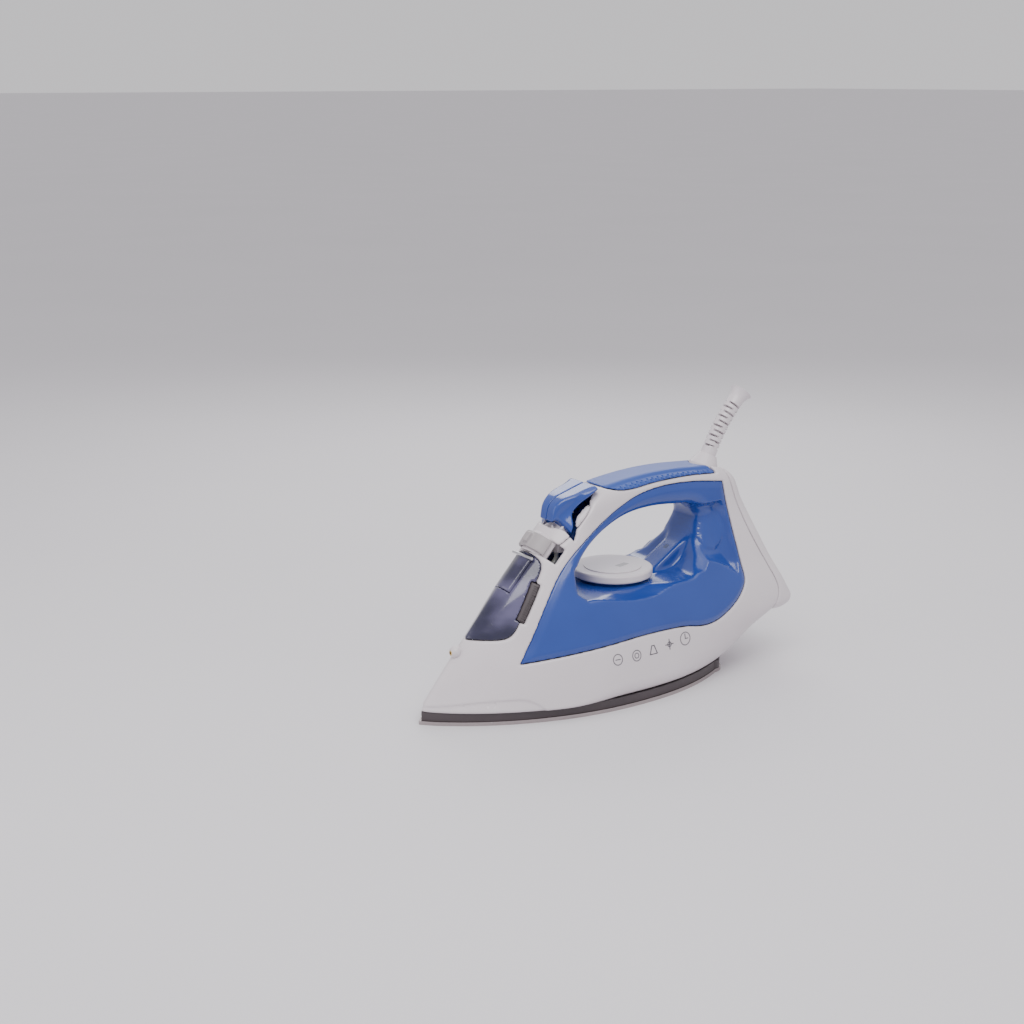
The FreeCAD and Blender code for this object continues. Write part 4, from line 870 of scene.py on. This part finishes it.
# %% Buttons
button_block = Block((94, -20, 104), (136, 20, 146), 0.5)
button_half = 8.0 + 4.5 * ease(button_block.x, 99, 118)
button_sides = either(side_field(button_block) + 0.2, np.abs(button_block.y) - button_half, 3.0)
button_form = both(button_block.outline(BUTTON_SIDE) + 0.1, button_sides, 3.0)
for way, name, node in ((-1, "spray_button_cap", "spray_button"), (1, "burst_button_cap", "burst_button")):
    half = both(button_form, 0.25 - way * button_block.y, 0.8)
    made = mesh_object(name, *skin(button_block, half))
    finished(made, BLUE, "blue_plastic", node, node)

# %% [markdown]
# ## Marks that repeat
# Ticks stand round the dial, raised dots give the grip its hold, and five small line
# symbols are laid on each side of the white skirt.  A symbol is a drawn stroke cut into
# short steps, so the same tree that lays ribs can lay it.

# %% Dots on the grip
def places_and_normals(mesh):
    """Every vertex of a mesh in the iron's millimetres, and its normal."""
    count = len(mesh.vertices)
    places, normals = np.empty(count * 3), np.empty(count * 3)
    mesh.vertices.foreach_get("co", places)
    mesh.vertices.foreach_get("normal", normals)
    places = places.reshape(-1, 3) * 1000 - [SHIFT, 0, 0]
    return places, normals.reshape(-1, 3)


grip_mesh = bpy.data.objects["soft_grip_pad"].data
pad_places, pad_normals = places_and_normals(grip_mesh)
outward = pad_normals[:, 2] > 0.25
pad_places, pad_normals = pad_places[outward], pad_normals[outward]
dot_anchors = []
for row, across in enumerate((13.6, 15.0, 16.2)):
    for x in np.arange(146 + 2.2 * (row % 2), 226, 4.4):
        for way in (-1, 1):
            near = np.argmin((pad_places[:, 0] - x) ** 2 + (pad_places[:, 1] - way * across) ** 2)
            if abs(pad_places[near, 0] - x) < 1 and abs(pad_places[near, 1] - way * across) < 1:
                dot_anchors.append((pad_places[near], pad_normals[near], (1, 0, 0)))
if dot_anchors:
    repeated("grip_dots", dot_anchors, (1.6, 1.6, 1.3), GRIP, "soft_grip", "iron_body", rounded=True)

# %% Ticks of the dial
DIAL_TOP = dial_high.z * 1000
tick_anchors = []
for angle in np.radians(np.arange(-150, 121, 15)):
    place = (DIAL_X + 23.6 * math.cos(angle), 23.6 * math.sin(angle), DIAL_TOP - 0.1)
    tick_anchors.append((np.array(place), np.array((0, 0, 1.0)), (math.cos(angle), math.sin(angle), 0)))
TICK = moulded("dial_ink", (0.10, 0.095, 0.11), (0.14, 0.13, 0.15), 0.5, 0.0)
repeated("dial_ticks", tick_anchors, (3.0, 0.7, 0.16), TICK, "dark_plastic", "dial")

cap_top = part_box("dial_cap")[1].z * 1000
index_place = np.array((DIAL_X + 5.0, -4.0, cap_top - 0.05))
INDEX = moulded("dial_index", (0.30, 0.28, 0.30), (0.36, 0.34, 0.36), 0.3, 0.0)
repeated("dial_index_window", [(index_place, np.array((0, 0, 1.0)), (1, 0.25, 0))], (10.0, 4.6, 0.18), INDEX,
         "grey_plastic", "dial", bevel=0.05)

# %% Symbols on the shell
def circle(radius, count=28):
    angles = np.radians(360.0 * np.arange(count) / count)
    return [(radius * math.cos(a), radius * math.sin(a)) for a in angles]


def line(a, b):
    count = max(2, int(math.dist(a, b) / 0.4))
    return [(a[0] + (b[0] - a[0]) * k / count, a[1] + (b[1] - a[1]) * k / count) for k in range(count + 1)]


SYMBOLS = [
    (121, 34, circle(3.4) + line((-1.6, 0), (1.6, 0))),
    (136, 34, circle(3.4) + circle(1.6, 14)),
    (150, 35, line((-3, -2.6), (3, -2.6)) + line((-3, -2.6), (-1, 2.8)) + line((3, -2.6), (1, 2.8))
     + line((-1, 2.8), (1, 2.8))),
    (164, 36, line((-3.2, 0), (3.2, 0)) + line((0, -3.2), (0, 3.2)) + circle(1.5, 14)),
    (178, 37, circle(4.2, 36) + line((0, 0), (0, 3)) + line((0, 0), (2.2, 0)))]
symbol_anchors = []
for centre_x, centre_z, strokes in SYMBOLS:
    for way in (-1, 1):
        for dx, dz in strokes:
            place, normal = side_point(centre_x + dx, centre_z + dz, 0.02, way)
            symbol_anchors.append((place, normal, (1, 0, 0)))
repeated("shell_symbols", symbol_anchors, (0.75, 0.6, 0.12), TICK, "dark_plastic", "iron_body")

# %% [markdown]
# ## Floor, light and finish
# A pale floor and large soft lamps, as in a studio.  Broad lamps make long soft highlights
# on gloss plastic, which is what shows its curves.

# %% Floor and lamps
reach = 40.0
floor_mesh = bpy.data.meshes.new("pale_floor")
floor_corners = [(-reach, -reach, 0), (reach, -reach, 0), (reach, reach, 0), (-reach, reach, 0)]
floor_mesh.from_pydata(floor_corners, [], [(0, 1, 2, 3)])
floor = bpy.data.objects.new("pale_floor", floor_mesh)
bpy.context.scene.collection.objects.link(floor)
floor_finish = Finish("pale_floor", Roughness=0.85)
floor_tone = floor_finish.mix(floor_finish.noise(3.0), (0.70, 0.68, 0.71), (0.74, 0.72, 0.75))
floor_finish.paint(Base_Color=floor_tone)
floor.data.materials.append(floor_finish.material)
floor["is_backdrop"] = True
world = bpy.data.worlds.new("studio")
world.use_nodes = True
world.node_tree.nodes["Background"].inputs["Color"].default_value = (0.93, 0.91, 0.94, 1)
world.node_tree.nodes["Background"].inputs["Strength"].default_value = 0.85
bpy.context.scene.world = world


def lamp(name, place, target, size, power, tint=(1, 1, 1)):
    data = bpy.data.lights.new(name, "AREA")
    data.shape, data.size, data.size_y = "RECTANGLE", size[0], size[1]
    data.energy, data.color = power, tint
    made = bpy.data.objects.new(name, data)
    made.location = place
    made.rotation_euler = (Vector(target) - Vector(place)).to_track_quat("-Z", "Y").to_euler()
    bpy.context.scene.collection.objects.link(made)


lamp("key", (-0.35, -0.5, 0.95), (0, 0, 0.07), (0.9, 0.5), 7.0)
lamp("front_fill", (-0.95, 0.15, 0.45), (0, 0, 0.07), (0.5, 0.7), 1.5)
lamp("rim", (0.5, 0.7, 0.7), (0, 0, 0.08), (0.8, 0.4), 4.0)
lamp("top", (0.1, -0.1, 1.0), (0, 0, 0.05), (0.8, 0.8), 2.0)

VISUAL_BOX = [list(corner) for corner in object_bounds()]
growth = [[round((b - a) * 1000, 2) for a, b in zip(c, v)] for c, v in zip(CAD_BOX, VISUAL_BOX)]
print("box growth, mm", growth)
